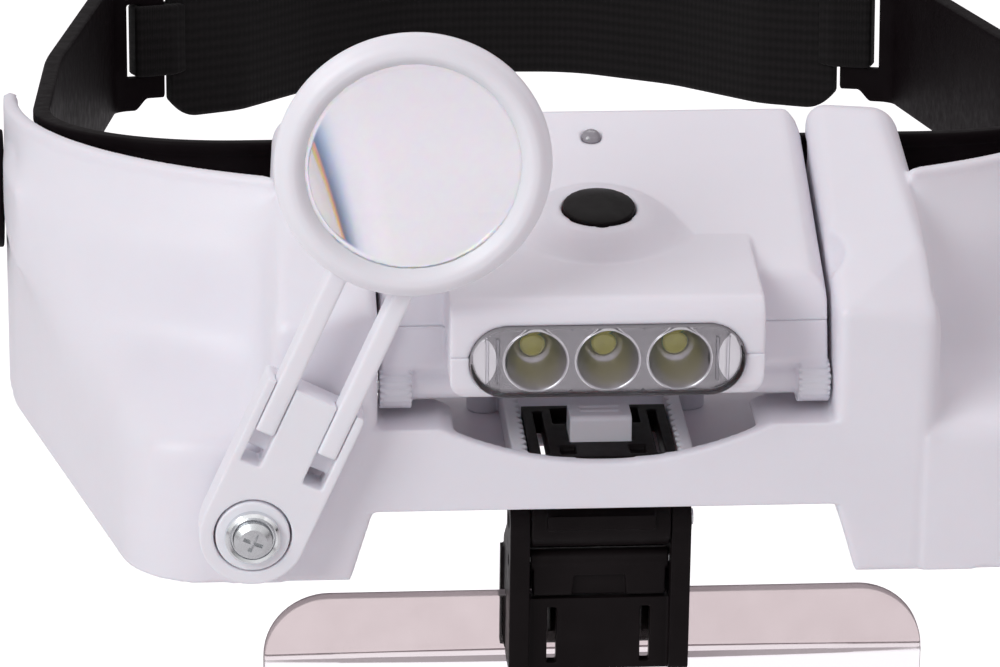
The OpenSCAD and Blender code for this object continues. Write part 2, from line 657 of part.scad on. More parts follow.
module lens_carriage() {
    y0 = -carriage_front;
    y1 = y0 + carriage_l;
    z0 = -carriage_z;
    z1 = -track_floor + carriage_h - 0.1;
    color(black) difference() {
        union() {
            block(-rack_x + 0.15, rack_x - 0.15, y0, y1, z0, z1);
            block(-rail_x + 0.12, rail_x - 0.12, y0, y1, z0, -track_floor + 1.85);
            block(-leg_x, leg_x, -leg_y[1], -leg_y[0], -flip_z, z0 + 1);
            along_x(-cheek_in + 0.15, cheek_in - 0.15, -flip_y, -flip_z, knuckle_r);
        }
        // slots that free the side fingers
        for (s = [-1, 1]) block(s * 8.6 - 0.65, s * 8.6 + 0.65, y0 + 1.6, y1 - 2.4, z0 - 1, z1 + 1);
        // pocket of the latch
        block(-latch_w / 2 - 0.1, latch_w / 2 + 0.1, -latch_y[1] - 0.1, -latch_y[0] + 0.1,
            z1 - 2.4, z1 + 1);
        // hollow between the ribs
        block(-6.6, 6.6, y1 - 7, y1 - 1.4, z0 + 1.2, z1 + 1);
        for (i = [-1, 1]) block(i * 5.2 - 1.2, i * 5.2 + 1.2, y0 + 1.4, -latch_y[1] - 1.6, z1 - 0.8, z1 + 1);
        along_x(-cheek_in, cheek_in, -flip_y, -flip_z, flip_pin_r);
        // bevel of the hinge cap
        translate([-20, -flip_y - knuckle_r, -flip_z + knuckle_r]) rotate([45, 0, 0])
            translate([0, -1.6, -1.6]) cube([40, 3.2, 3.2]);
    }
}
module release_latch() {
    z1 = -track_floor + carriage_h - 0.1;
    color(white) difference() {
        side_prism(-latch_w / 2, latch_w / 2, outline([[-latch_y[1], z1 - 1.2, 0],
            [-latch_y[0], z1 - 1.2, 0], [-latch_y[0], z1 + 3.6, 0.8], [-latch_y[1] + 0.6, z1 + 3.6, 0.8]]));
        for (y = [0:1]) block(-3, 3, -latch_y[0] - 2.2 - 1.6 * y, -latch_y[0] - 1.5 - 1.6 * y,
            z1 + 3.3, z1 + 4);
    }
}

// Lens holder
module holder_hinge_pin() {
    color(steel) along_x(-cheek_out + 0.2, cheek_out + 0.5, -flip_y, -flip_z, flip_pin_r);
}
module lens_holder() {
    side = outline([[-cheek_front, -flip_z, 0], [-cheek_front, -holder_z, 1.2],
        [-cheek_back, -holder_z, 1.2], [-cheek_back, -26, 2], [-flip_y + cheek_r, -flip_z - 2, 0],
        [-flip_y + cheek_r, -flip_z, 0]]);
    color(black) difference() {
        union() {
            for (s = [-1, 1]) {
                side_prism(s > 0 ? cheek_in : -cheek_out, s > 0 ? cheek_out : -cheek_in, side);
                along_x(s > 0 ? cheek_in : -cheek_out, s > 0 ? cheek_out : -cheek_in,
                    -flip_y, -flip_z, cheek_r);
            }
            // front plate with its two windows
            block(-cheek_in - 1, cheek_in + 1, -cheek_front + 1.4, -cheek_front + 3.4,
                -holder_z, -lever_low - 0.4);
            // back plate
            block(-cheek_out - 0.5, cheek_out + 0.5, -cheek_back - 1.6, -cheek_back + 0.4,
                -holder_z, -27.5);
        }
        for (s = [-1, 1]) block(s * 7 - 0.7, s * 7 + 0.7, -cheek_front, -cheek_front + 5, -42.2, -33);
        // slot that takes the lens plate
        block(-20, 20, -tab_y - tab_slot / 2, -tab_y + tab_slot / 2, -holder_z - 1, plate_top + 0.1);
        along_x(-20, 20, -flip_y, -flip_z, flip_pin_r + run_gap);
        along_x(-20, 20, -lever_y, -lever_z, lever_pin_r);
    }
}
module clip_lever() {
    color(black) difference() {
        union() {
            along_x(-cheek_in + 0.2, cheek_in - 0.2, -lever_y, -lever_z, 1.7);
            side_prism(-cheek_in + 0.6, cheek_in - 0.6, outline([[-lever_y - 1.6, -lever_z + 0.4, 0],
                [-lever_y + 0.6, -lever_z + 0.4, 0], [-lever_y + 0.6, -lever_low, 0.4],
                [-lever_y - 1.9, -lever_low, 0.8]], 4));
        }
        along_x(-20, 20, -lever_y, -lever_z, lever_pin_r + run_gap);
        // finger notch
        front_prism(-lever_y - 3, -lever_y - 0.9, [[-notch_w / 2, -lever_low - 1],
            [notch_w / 2, -lever_low - 1], [notch_w / 2 - 0.4, -lever_low + 3.4],
            [-notch_w / 2 + 0.4, -lever_low + 3.4]]);
    }
}
module lever_pin() {
    color(steel) along_x(-cheek_out + 0.4, cheek_out - 0.4, -lever_y, -lever_z, lever_pin_r);
}
module lens_plate() {
    w = plate_w / 2;
    z1 = plate_top;
    z0 = z1 - plate_h;
    zc = (z1 - tab_h + z0) / 2;
    shape = outline([[-w, z0, plate_r], [w, z0, plate_r], [w, z1, plate_r], [-w, z1, plate_r]], 8);
    color([0.86, 0.84, 0.86, 0.4]) union() {
        front_prism(-tab_y - plate_t / 2, -tab_y + plate_t / 2, shape);
        intersection() {
            front_prism(-tab_y - 4, -tab_y + 4, outline([[-w, z0, plate_r], [w, z0, plate_r],
                [w, z1 - tab_h, 1], [-w, z1 - tab_h, 1]], 8));
            translate([0, -tab_y, zc]) rotate([-90, 0, 0]) rotate_extrude($fn = 96)
                polygon(lens_outline(norm([w, plate_h / 2]), plate_t + 0.6, lens_crown));
        }
    }
}

// Lamp unit
// side outline of the main body, drawn in by d
function lamp_side(d) = outline([[-lamp_back - lamp_foot - d, lamp_low + d, 1],
    [-lamp_back - lamp_foot - d + 0.1, 10 + d * 0.2, 3], [-lamp_back - d, 27 - d * 0.4, 1.5],
    [-lamp_back - d, lamp_z - d * (tan(lamp_slope) + 1 / cos(lamp_slope)), 1],
    [-lamp_fold + 0.79 * d, lamp_fold_z - 0.77 * d, 2.5],
    [-hinge_y - 1.4 + d, hinge_z + 3.2 + d * 0.4, 1.5], [-hinge_y + 4 + d, lamp_low + d, 1]]);
// side outline of the light box, drawn in by d
function box_side(d) = outline([[-box_front + d, box_low + d, 3 - d],
    [-box_front + d, box_top - d, 3.6 - d], [-box_front + 9, box_top + 0.6 - d, 8],
    [-box_front + 34, 23.2 - d, 4], [-box_front + 34, box_low + d, 0]]);
function round_front(w, z0, z1, r0, r1) = outline([[-w, z0, r0], [w, z0, r0], [w, z1, r1], [-w, z1, r1]]);
module lamp_form(d) {
    intersection() {
        side_prism(-lamp_w + d, lamp_w - d, lamp_side(d));
        top_frame() translate([0, 0, -60]) front_prism(-60, 60,
            round_front(lamp_w - d, -20, 60 - d, 1, max(0.8, 3.4 - d)));
        // rounded back corners
        translate([0, 0, -10]) linear_extrude(60) polygon(outline([[-lamp_w + d, -front_y - 20, 0],
            [lamp_w - d, -front_y - 20, 0], [lamp_w - d, -lamp_back - d, 4 - d],
            [-lamp_w + d, -lamp_back - d, 4 - d]]));
    }
    translate([box_x, 0, 0]) intersection() {
        side_prism(-box_w + d, box_w - d, box_side(d));
        front_prism(-box_front - 1, -100, round_front(box_w - d, box_low + d, 40, 3.5 - d, 3));
    }
}
module mound_form(d) {
    button_frame() rotate_extrude() polygon(concat([[0, -9 - d]],
        [[mound[8].x - 0.7 * d, -9 - d]], [for (i = [8:-1:0]) [mound[i].x - 0.7 * d, mound[i].y - d]],
        [[0, -d]]));
}
module lamp_shell() {
    difference() {
        union() {
            lamp_form(0);
            intersection() {
                mound_form(0);
                side_prism(-20, 20, [[-box_front + 8, lamp_low + 8], [-box_front + 8, 40],
                    [-lamp_back - 3, 40], [-lamp_back - 3, lamp_low + 8]]);
            }
        }
        lamp_form(lamp_wall);
        intersection() {
            mound_form(lamp_wall);
            block(-20, 20, -box_front + 8, -lamp_back - 6, lamp_low + 8, 40);
        }
        // window
        translate([box_x, 0, 0])
            stadium(-box_front - 2, -box_front + 4, win_z, win_w + 0.1, win_h + 0.1);
    }
}
module indicator_frame() {
    top_frame() translate([indicator_x, (button_y - indicator_y) / cos(lamp_slope), 0]) children();
}
module lamp_upper_cover() {
    color(white) difference() {
        union() {
            intersection() {
                lamp_shell();
                block(-60, 60, -160, -80, part_z, 60);
            }
            // posts that hold the main board and take the cover screws
            intersection() {
                union() {
                    button_frame() for (x = [-20, 20]) for (y = board_screw_y)
                        translate([x, y, -board_drop + board_t]) cylinder(h = board_drop, r = 2);
                    for (x = [-boss_x, boss_x]) translate([x, -boss_y, part_z]) cylinder(h = 20, r = 2.4);
                }
                lamp_form(0.4);
            }
        }
        button_frame() {
            translate([0, 0, -8]) cylinder(h = 20, r = button_r + 0.12);
            for (x = [-20, 20]) for (y = board_screw_y)
                translate([x, y, -board_drop]) cylinder(h = board_t + board_screw_l, r = 0.8);
        }
        indicator_frame() translate([0, 0, -6]) cylinder(h = 12, r = 1.5);
        for (x = [-boss_x, boss_x]) translate([x, -boss_y, 0]) cylinder(h = part_z + 7, r = 1);
    }
}
module lamp_lower_cover() {
    color(white) difference() {
        union() {
            intersection() {
                lamp_shell();
                block(-60, 60, -160, -80, -10, part_z);
            }
            for (x = [-boss_x, boss_x]) translate([x, -boss_y, lamp_low + 0.4])
                cylinder(h = part_z - lamp_low - 0.4, r = 2.4);
            pair() {
                along_x(barrel_in, lamp_w + 0.3, -hinge_y, hinge_z, barrel_r - 0.4);
                for (a = [5:18:347]) translate([barrel_in + 0.2, -hinge_y, hinge_z]) rotate([a, 0, 0])
                    translate([0, 0, barrel_r - 0.25]) rotate([0, 90, 0])
                        cylinder(h = lamp_w - barrel_in - 0.1, r = 0.42, $fn = 16);
                along_x(box_w - 3, barrel_in + 0.5, -hinge_y, hinge_z, spigot_r);
            }
        }
        pair() along_x(lamp_w - hinge_len + 2.6, lamp_w + 2, -hinge_y, hinge_z, hinge_r + run_gap);
        for (x = [-boss_x, boss_x]) translate([x, -boss_y, 0]) {
            cylinder(h = part_z + 1, r = 1.1);
            cylinder(h = lamp_low + 1.8, r = 1.9);
        }
        // mouth of the charging socket, in the back wall
        block(-4.1, 4.1, -lamp_back - lamp_foot - 4, -lamp_back + 2, lamp_low + 3.2, lamp_low + 6.4);
    }
}
module lamp_hinge_pins() {
    color(steel) pair()
        along_x(lamp_w - hinge_len + 3, pillar_in + wall + 1.5, -hinge_y, hinge_z, hinge_r);
}
module lamp_cover_screws() {
    color(steel) for (x = [-boss_x, boss_x])
        translate([x, -boss_y, lamp_low + 1.8]) screw(part_z + 3, 1, 1.8, 1.2);
}
module light_window() {
    y0 = -box_front - win_out;
    color([0.9, 0.92, 0.94, 0.35]) translate([box_x, 0, 0]) difference() {
        stadium(y0, -box_front + lamp_wall + 0.4, win_z, win_w, win_h);
        stadium(y0 + 1.4, 0, win_z, win_w - 2 * win_skirt, win_h - 2 * win_skirt);
        // grooves of the light guides at the two ends
        for (s = [-1, 1]) for (k = [0, 1.5])
            block(s * (17.4 - k) - 0.2, s * (17.4 - k) + 0.2, y0 - 1, y0 + 0.4, win_z - 3.4, win_z + 3.4);
    }
}
module reflector() {
    y0 = -cup_front;
    color([0.82, 0.83, 0.85]) translate([box_x, 0, 0]) difference() {
        union() {
            for (i = [-1:1]) translate([i * led_pitch, y0, win_z]) rotate([-90, 0, 0])
                rotate_extrude() polygon([[0, 0], [cup_r + 0.25, 0], [cup_r + 0.25, 1],
                    [cup_r, cup_d * 0.5], [2.9, cup_d], [0, cup_d]]);
            stadium(y0, y0 + 0.8, win_z, win_w - 2 * win_skirt - 0.4, win_h - 2 * win_skirt - 0.4);
        }
        for (i = [-1:1]) translate([i * led_pitch, y0 - eps, win_z]) rotate([-90, 0, 0])
            rotate_extrude() polygon([[0, 0], [cup_r, 0], [cup_r * 0.92, cup_d * 0.3],
                [cup_r * 0.7, cup_d * 0.65], [2.1, cup_d - 0.9], [1.9, cup_d - 0.8], [1.9, cup_d + 1],
                [0, cup_d + 1]]);
    }
}
module led_board() {
    y0 = -cup_front + cup_d;
    color([0.1, 0.35, 0.2]) translate([box_x, 0, 0]) difference() {
        block(-16.5, 16.5, y0, y0 + board_t, win_z - 4.4, win_z + 4.4);
        for (s = [-1, 1]) along_y(y0 - 1, y0 + 3, s * 15, win_z + 3, 0.9);
    }
}
module led_chips() {
    y0 = -cup_front + cup_d;
    color([0.85, 0.9, 0.35]) for (i = [-1:1]) translate([box_x + i * led_pitch, y0, win_z])
        rotate([90, 0, 0]) rotate_extrude() polygon([[0, 0], [1.8, 0], [1.8, 0.35], [1.5, 0.6], [0, 0.75]]);
}
module main_board() {
    color([0.1, 0.35, 0.2]) button_frame() difference() {
        block(-22.5, 22.5, board_y[0], board_y[1], -board_drop, -board_drop + board_t);
        for (x = [-20, 20]) for (y = board_screw_y)
            translate([x, y, -board_drop - 1]) cylinder(h = 4, r = 2.06);
    }
}
module board_screws() {
    color(steel) button_frame() for (x = [-20, 20]) for (y = board_screw_y)
        translate([x, y, -board_drop + board_t]) screw(board_screw_l, 0.8, 1.9, 1);
}
module tact_switch() {
    z0 = -board_drop + board_t;
    color([0.15, 0.15, 0.16]) button_frame() difference() {
        union() {
            block(-3, 3, -3, 3, z0, z0 + 3.4);
            for (x = [-2, 2]) for (y = [-2, 2]) translate([x, y, z0]) cylinder(h = 3.7, r = 0.4);
        }
        translate([0, 0, z0 + 1.6]) cylinder(h = 4, r = 1.8);
    }
}
module switch_plunger() {
    z0 = -board_drop + board_t;
    color(black) button_frame()
        translate([0, 0, z0 + 1.6 + button_travel + 0.1]) cylinder(h = 3.2 - button_travel - 0.1, r = 1.7);
}
module power_button() {
    z0 = -board_drop + board_t + 4.8;
    crown = 0.9;
    rs = (button_r * button_r + crown * crown) / (2 * crown);
    color(black) button_frame() union() {
        translate([0, 0, z0]) cylinder(h = 2, r = 1.7);
        translate([0, 0, z0 + 0.4]) cylinder(h = -z0, r = button_r);
        translate([0, 0, z0 + 1.6]) cylinder(h = 0.8, r = button_r + 0.95);
        intersection() {
            translate([0, 0, 0.4 + crown - rs]) sphere(rs, $fn = 96);
            translate([0, 0, -0.4]) cylinder(h = 4, r = button_r);
        }
    }
}
module indicator_lens() {
    cap = 0.9;
    rs = (1.5 * 1.5 + cap * cap) / (2 * cap);
    color([0.6, 0.6, 0.62, 0.6]) indicator_frame() union() {
        translate([0, 0, -lamp_wall - 1.3]) cylinder(h = lamp_wall + 1.4, r = 1.5);
        translate([0, 0, -lamp_wall - 1.3]) cylinder(h = 1, r = 2.2);
        intersection() {
            translate([0, 0, 0.1 + cap - rs]) sphere(rs, $fn = 64);
            translate([0, 0, 0]) cylinder(h = 2, r = 1.5);
        }
    }
}
module battery_cell() {
    color([0.7, 0.72, 0.75]) union() {
        translate([0, -battery_y, lamp_low + lamp_wall]) linear_extrude(battery_h)
            polygon(outline([[-21, -12, 1.5], [21, -12, 1.5], [21, 9, 1.5], [-21, 9, 1.5]], 4));
        block(-8, 8, -battery_y + 9, -battery_y + 9.7, lamp_low + lamp_wall + 2, lamp_low + lamp_wall + 4);
    }
}
module charge_socket() {
    color(steel) difference() {
        block(-4, 4, -lamp_back - 9, -lamp_back - lamp_foot - 0.3, lamp_low + 3.3, lamp_low + 6.3);
        block(-3.4, 3.4, -lamp_back - 7.6, -lamp_back, lamp_low + 3.8, lamp_low + 5.8);
    }
}

// Loupe
module loupe_base_arm() {
    w = arm_w / 2;
    y0 = -arm_front;
    y1 = -loupe_y - 0.05;
    gw = rod_w / 2 + groove_gap;
    color(white) loupe_frame() difference() {
        front_prism(y0, y1, outline([[-w, -w, w - eps], [w, -w, w - eps], [w, arm_l - 0.4, 0.5],
            [-w, arm_l + 0.4, 0.5]], 9));
        // grooves for the rods, wider at the floor
        for (s = [-1, 1]) translate([s * rod_x, 0, 0]) translate([0, 0, groove_low]) linear_extrude(arm_l)
            polygon([[-gw, y0 - 1], [gw, y0 - 1], [gw, y0 + 0.6], [gw + 0.3, -rod_front + rod_t + groove_gap],
                [-gw - 0.3, -rod_front + rod_t + groove_gap], [-gw, y0 + 0.6]]);
        // drain at the low end of each groove
        for (s = [-1, 1]) block(s * rod_x - gw, s * rod_x + gw, y0 - 1, y1 + 1, groove_low, groove_low + 1.8);
        // seat of the bush
        along_y(y0 - 1, y0 + 2.2, 0, 0, 5.7);
        along_y(y0 - 1, y1 + 1, 0, 0, 3.4);
    }
}
module loupe_bush() {
    color(white) loupe_frame() difference() {
        union() {
            along_y(-arm_front - 0.2, -arm_front + 2.1, 0, 0, 5.4);
            along_y(-arm_front, -loupe_y, 0, 0, 3.35);
        }
        along_y(-arm_front - 1, -loupe_y + 1, 0, 0, 1.5);
    }
}
module loupe_cup_washer() {
    color([0.8, 0.81, 0.83]) loupe_frame() translate([0, -arm_front - 0.2, 0]) rotate([90, 0, 0])
        rotate_extrude() polygon([[1.5, 0], [4.1, 0], [4, 0.9], [3.6, 1.3], [3.2, 1.1],
            [3.1, 0.8], [1.5, 0.8]]);
}
module loupe_screw() {
    y = -arm_front - 1;
    color(steel) loupe_frame() difference() {
        union() {
            along_y(y, -front_y + 7.5, 0, 0, 1.5);
            translate([0, y, 0]) rotate([90, 0, 0]) rotate_extrude()
                polygon([[0, 0], [3, 0], [2.8, 0.8], [2, 1.4], [0, 1.6]]);
        }
        for (a = [0, 90]) rotate([0, a, 0]) block(-1.5, 1.5, y - 2, y - 0.7, -0.3, 0.3);
    }
}
module loupe_ring() {
    cz = ring_l;
    rw = rod_w / 2;
    m = (ring_r + ring_in) / 2;
    h = (ring_r - ring_in) / 2;
    color(white) loupe_frame() difference() {
        union() {
            translate([-ring_off, -ring_y, cz]) rotate([90, 0, 0]) rotate_extrude($fn = 96)
                polygon(concat([for (a = [0:20:340])
                    [m + h * cos(a) * (0.82 + 0.18 * abs(cos(2 * a))),
                     ring_t / 2 * sin(a) * (0.82 + 0.18 * abs(cos(2 * a)))]]));
            for (s = [-1, 1]) translate([s * rod_x, 0, rod_low])
                linear_extrude(cz - ring_r + 3.2 - rod_low) polygon([
                    [-rw, -rod_front], [rw, -rod_front], [rw, -rod_front + 0.9],
                    [rw + 0.3, -rod_front + rod_t], [-rw - 0.3, -rod_front + rod_t],
                    [-rw, -rod_front + 0.9]]);
            // feet that join the rods to the ring
            for (s = [-1, 1]) block(s * rod_x - rw, s * rod_x + rw, -ring_y - 0.6, -rod_front + rod_t,
                cz - ring_r + 1.8, cz - ring_r + 4);
        }
        translate([-ring_off, 0, cz]) along_y(-ring_y - 10, -ring_y + 10, 0, 0, ring_in);
        // seat of the lens
        translate([-ring_off, 0, cz]) along_y(-ring_y - 0.75, -ring_y + 0.75, 0, 0, ring_in + 0.9);
    }
}
module loupe_lens() {
    color([0.9, 0.93, 0.95, 0.3]) loupe_frame() translate([-ring_off, -ring_y, ring_l]) union() {
        along_y(-0.7, 0.7, 0, 0, ring_in + 0.85);
        rotate([-90, 0, 0]) rotate_extrude($fn = 96)
            polygon(lens_outline(ring_in - 0.1, 1.4, loupe_crown));
    }
}

headband_frame();
brow_pad();
elastic_strap();
pivot_bolts();
pivot_washers();
visor_shell();
clamp_knob_left();
clamp_knob_right();
rack_track();
track_screws();
lamp_hinge_pins();
lamp_upper_cover();
lamp_lower_cover();
lamp_cover_screws();
light_window();
reflector();
led_board();
led_chips();
main_board();
board_screws();
tact_switch();
switch_plunger();
power_button();
indicator_lens();
battery_cell();
charge_socket();
loupe_base_arm();
loupe_bush();
loupe_cup_washer();
loupe_screw();
loupe_ring();
loupe_lens();
lens_carriage();
release_latch();
holder_hinge_pin();
lens_holder();
clip_lever();
lever_pin();
lens_plate();
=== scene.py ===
"""Looks of the lighted headband magnifier.

Metres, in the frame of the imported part: +Z is up as worn, -Y is the way the wearer looks.
"""
import math

import bmesh
import bpy
import numpy as np
from mathutils import Matrix, Vector
from mathutils.bvhtree import BVHTree

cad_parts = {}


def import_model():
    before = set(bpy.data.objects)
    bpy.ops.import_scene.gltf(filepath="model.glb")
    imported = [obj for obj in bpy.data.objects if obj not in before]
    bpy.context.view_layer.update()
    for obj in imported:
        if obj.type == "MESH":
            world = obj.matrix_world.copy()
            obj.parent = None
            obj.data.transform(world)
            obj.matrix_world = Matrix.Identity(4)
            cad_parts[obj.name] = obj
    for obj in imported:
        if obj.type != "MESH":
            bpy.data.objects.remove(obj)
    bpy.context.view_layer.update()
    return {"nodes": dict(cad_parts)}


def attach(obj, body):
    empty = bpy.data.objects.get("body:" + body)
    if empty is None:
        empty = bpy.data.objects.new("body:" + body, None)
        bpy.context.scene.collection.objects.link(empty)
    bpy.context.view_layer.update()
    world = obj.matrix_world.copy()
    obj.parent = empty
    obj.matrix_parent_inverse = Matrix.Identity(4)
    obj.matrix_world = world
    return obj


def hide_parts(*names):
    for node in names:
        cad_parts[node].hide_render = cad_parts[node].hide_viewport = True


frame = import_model()
NODES = frame["nodes"]
MM = 0.001

# Sizes that the looks and the shapes share, in millimetres
BOX_X, WINDOW_Z, CUP_PITCH, CUP_MOUTH = -0.7, 11.9, 10.4, 4.75
PLATE_TOP, TAB_H = -33.6, 10.2


# Materials
class Tree:
    """A shader node tree, with helpers that grow it."""

    def __init__(self, tree):
        self.nodes = tree.nodes
        self.links = tree.links

    def link(self, a, b):
        self.links.new(a, b)

    def node(self, kind, **values):
        """A new node with values in its inputs; an underscore in a name stands for a space."""
        made = self.nodes.new("ShaderNode" + kind)
        for name, value in values.items():
            made.inputs[name.replace("_", " ")].default_value = value
        return made

    def put(self, value, socket):
        """Sets an input to a number or a colour, or links another node's output to it."""
        if isinstance(value, (tuple, list)):
            socket.default_value = (*value, 1.0)
        elif isinstance(value, (int, float)):
            socket.default_value = value
        else:
            self.link(value, socket)

    def spread(self, value, low, high, from_low=0.3, from_high=0.7):
        """Maps a value from one range to another, and holds it there."""
        node = self.node("MapRange", From_Min=from_low, From_Max=from_high, To_Min=low, To_Max=high)
        self.link(value, node.inputs["Value"])
        return node.outputs["Result"]

    def math(self, operation, *values):
        node = self.node("Math")
        node.operation = operation
        for value, socket in zip(values, node.inputs):
            self.put(value, socket)
        return node.outputs[0]

    def blend(self, share, a, b):
        """A colour between a and b."""
        node = self.node("Mix")
        node.data_type = "RGBA"
        for value, k in ((share, 0), (a, 6), (b, 7)):
            self.put(value, node.inputs[k])
        return node.outputs[2]

    def mixed(self, share, a, b):
        """A mix of two shaders, with that share of b."""
        node = self.node("MixShader")
        for value, socket in zip((share, a, b), node.inputs):
            self.put(value, socket)
        return node.outputs[0]

    def axes(self, vector):
        """The outputs X, Y and Z of a vector."""
        node = self.node("SeparateXYZ")
        self.link(vector, node.inputs[0])
        return node.outputs


class Finish(Tree):
    """A material with one Principled shader, textured in the piece's own space."""

    def __init__(self, name):
        self.mat = bpy.data.materials.new(name)
        self.mat.use_nodes = True
        super().__init__(self.mat.node_tree)
        self.shader = self.nodes["Principled BSDF"]
        self.coords = self.node("TexCoord")
        self.place = self.coords.outputs["Object"]

    def set(self, **values):
        """Sets inputs of the shader; an underscore in a name stands for a space."""
        for name, value in values.items():
            self.shader.inputs[name.replace("_", " ")].default_value = value

    def noise(self, scale, detail, rough=0.55):
        node = self.node("TexNoise", Scale=scale, Detail=detail, Roughness=rough)
        self.link(self.place, node.inputs["Vector"])
        return node.outputs["Fac"]

    def cells(self, scale, smooth=False):
        node = self.node("TexVoronoi", Scale=scale)
        if smooth:
            node.feature = "SMOOTH_F1"
        self.link(self.place, node.inputs["Vector"])
        return node.outputs["Distance"]

    def wave(self, scale, direction, at):
        node = self.node("TexWave", Scale=scale)
        node.bands_direction = direction
        self.link(at, node.inputs["Vector"])
        return node.outputs["Fac"]

    def colour(self, out):
        self.link(out, self.shader.inputs["Base Color"])

    def clouded(self, scale, detail, base, other, low=0.3, high=0.7):
        """A base colour that drifts a little towards another in soft clouds."""
        self.colour(self.blend(self.spread(self.noise(scale, detail), 0, 1, low, high), base, other))

    def uneven(self, scale, detail, low, high):
        """A roughness that wanders between low and high."""
        self.link(self.spread(self.noise(scale, detail), low, high), self.shader.inputs["Roughness"])

    def bump(self, height, depth):
        """A grain of that depth, in metres."""
        node = self.node("Bump", Strength=1.0, Distance=depth)
        self.link(height, node.inputs["Height"])
        self.link(node.outputs["Normal"], self.shader.inputs["Normal"])


def moulded_white(name, base, deep, grain, rough):
    """White moulded plastic: fine spark grain, faint flow clouding, a little light inside it."""
    f = Finish(name)
    f.clouded(55, 4, base, deep, 0.35, 0.65)
    f.uneven(900, 2, rough - 0.04, rough + 0.05)
    f.bump(f.noise(2600, 2, 0.6), grain)
    f.set(IOR=1.5, Specular_IOR_Level=0.4, Subsurface_Weight=0.22, Subsurface_Scale=0.0016,
          Subsurface_Radius=(1.0, 0.5, 0.45))
    return f.mat


def moulded_black(name, base, worn, grain, rough, scale=1700, shine=0.035):
    """Black moulded plastic with a fine leather-like grain."""
    f = Finish(name)
    f.clouded(70, 5, base, worn, 0.4, 0.7)
    f.uneven(500, 3, rough - 0.06, rough + 0.08)
    f.bump(f.cells(scale, smooth=True), grain)
    f.set(IOR=1.5, Specular_IOR_Level=shine)
    return f.mat


def bright_metal(name, base, rough, turned=True):
    """Bright plated metal, with a fine grain where it was turned."""
    f = Finish(name)
    f.set(Metallic=1.0)
    f.clouded(400, 3, base, tuple(c * 0.86 for c in base))
    f.uneven(1500, 2, rough, rough + 0.1)
    if turned:
        f.bump(f.noise(5000, 1), 2e-6)
    return f.mat


def frosted_edge(f, clear, tint, low, high):
    """Turns the faces of a piece that look sideways, across its own Y, into frosted cut edges.

    Faces whose normal has less than low of Y are frosted, those with more than high are clear.
    """
    facing = f.math("ABSOLUTE", f.axes(f.coords.outputs["Normal"])["Y"])
    dull = f.node("BsdfDiffuse", Color=(*tint, 1))
    through = f.node("BsdfTransparent", Color=(*(c * 0.9 for c in tint), 1))
    frost = f.mixed(0.55, dull.outputs[0], through.outputs[0])
    surface = f.mixed(f.spread(facing, 0, 1, low, high), frost, clear)
    f.link(surface, f.nodes["Material Output"].inputs["Surface"])
    return f.mat


def split_glass(name, tint, ior, split):
    """Clear lens plastic that bends red less than blue, under a thin reflection."""
    f = Finish(name)
    rough = f.spread(f.noise(240, 3), 0.0, 0.004)
    both = f.node("AddShader")
    for mask, way, socket in (((1, 0.5, 0), -1, both.inputs[0]), ((0, 0.5, 1), 1, both.inputs[1])):
        colour = (*(m * t for m, t in zip(mask, tint)), 1)
        bend = f.node("BsdfRefraction", Color=colour, IOR=ior + split * way)
        f.link(rough, bend.inputs["Roughness"])
        f.link(bend.outputs[0], socket)
    glance = f.node("Fresnel", IOR=ior)
    shine = f.node("BsdfGlossy", Color=(1, 1, 1, 1))
    f.link(rough, shine.inputs["Roughness"])
    clear = f.mixed(f.math("MINIMUM", glance.outputs[0], 0.5), both.outputs[0], shine.outputs[0])
    f.nodes.remove(f.shader)
    return frosted_edge(f, clear, (0.62, 0.6, 0.63), 0.5, 0.8)


def plate_plastic(step):
    """The big lens: its tab is smoked a little and its lens part, below the height step, is clear."""
    f = Finish("plate acrylic")
    f.set(Transmission_Weight=1.0, IOR=1.38)
    tab = f.spread(f.axes(f.place)["Z"], 0, 1, step - 0.0004, step + 0.0004)
    haze = f.spread(f.noise(120, 4), 0.0, 1.0)
    smoked = f.blend(haze, (0.60, 0.52, 0.53), (0.55, 0.47, 0.48))
    f.colour(f.blend(tab, (0.9, 0.88, 0.91), smoked))
    f.uneven(240, 3, 0.01, 0.05)
    return frosted_edge(f, f.shader.outputs[0], (0.5, 0.45, 0.46), 0.55, 0.9)


def window_plastic():
    f = Finish("window acrylic")
    f.set(Transmission_Weight=1.0, IOR=1.3)
    f.clouded(60, 3, (0.95, 0.95, 0.965), (0.93, 0.93, 0.945))
    f.uneven(240, 3, 0.01, 0.03)
    return frosted_edge(f, f.shader.outputs[0], (0.62, 0.6, 0.63), 0.3, 0.7)


def cup_chrome(mid_x, mid_z, pitch, mouth):
    """Satin chrome in the cups, and duller on the plate between them; its sizes are in metres."""
    f = Finish("lamp cup chrome")
    f.set(Metallic=1.0)
    axes = f.axes(f.place)
    across = f.math("WRAP", f.math("SUBTRACT", axes["X"], mid_x), pitch / 2, -pitch / 2)
    up = f.math("SUBTRACT", axes["Z"], mid_z)
    reach = f.math("SQRT", f.math("ADD", f.math("MULTIPLY", across, across), f.math("MULTIPLY", up, up)))
    plate = f.spread(reach, 0, 1, mouth, mouth + 0.0001)
    f.colour(f.blend(plate, (0.58, 0.56, 0.58), (0.22, 0.208, 0.22)))
    f.link(f.spread(plate, 0.28, 0.22, 0.0, 1.0), f.shader.inputs["Roughness"])
    return f.mat


def pad_foam():
    f = Finish("pad foam")
    f.clouded(300, 4, (0.012, 0.011, 0.012), (0.022, 0.02, 0.021))
    f.bump(f.cells(900), 1.2e-4)
    f.set(Roughness=0.9, Sheen_Weight=0.1, Sheen_Roughness=0.5)
    return f.mat


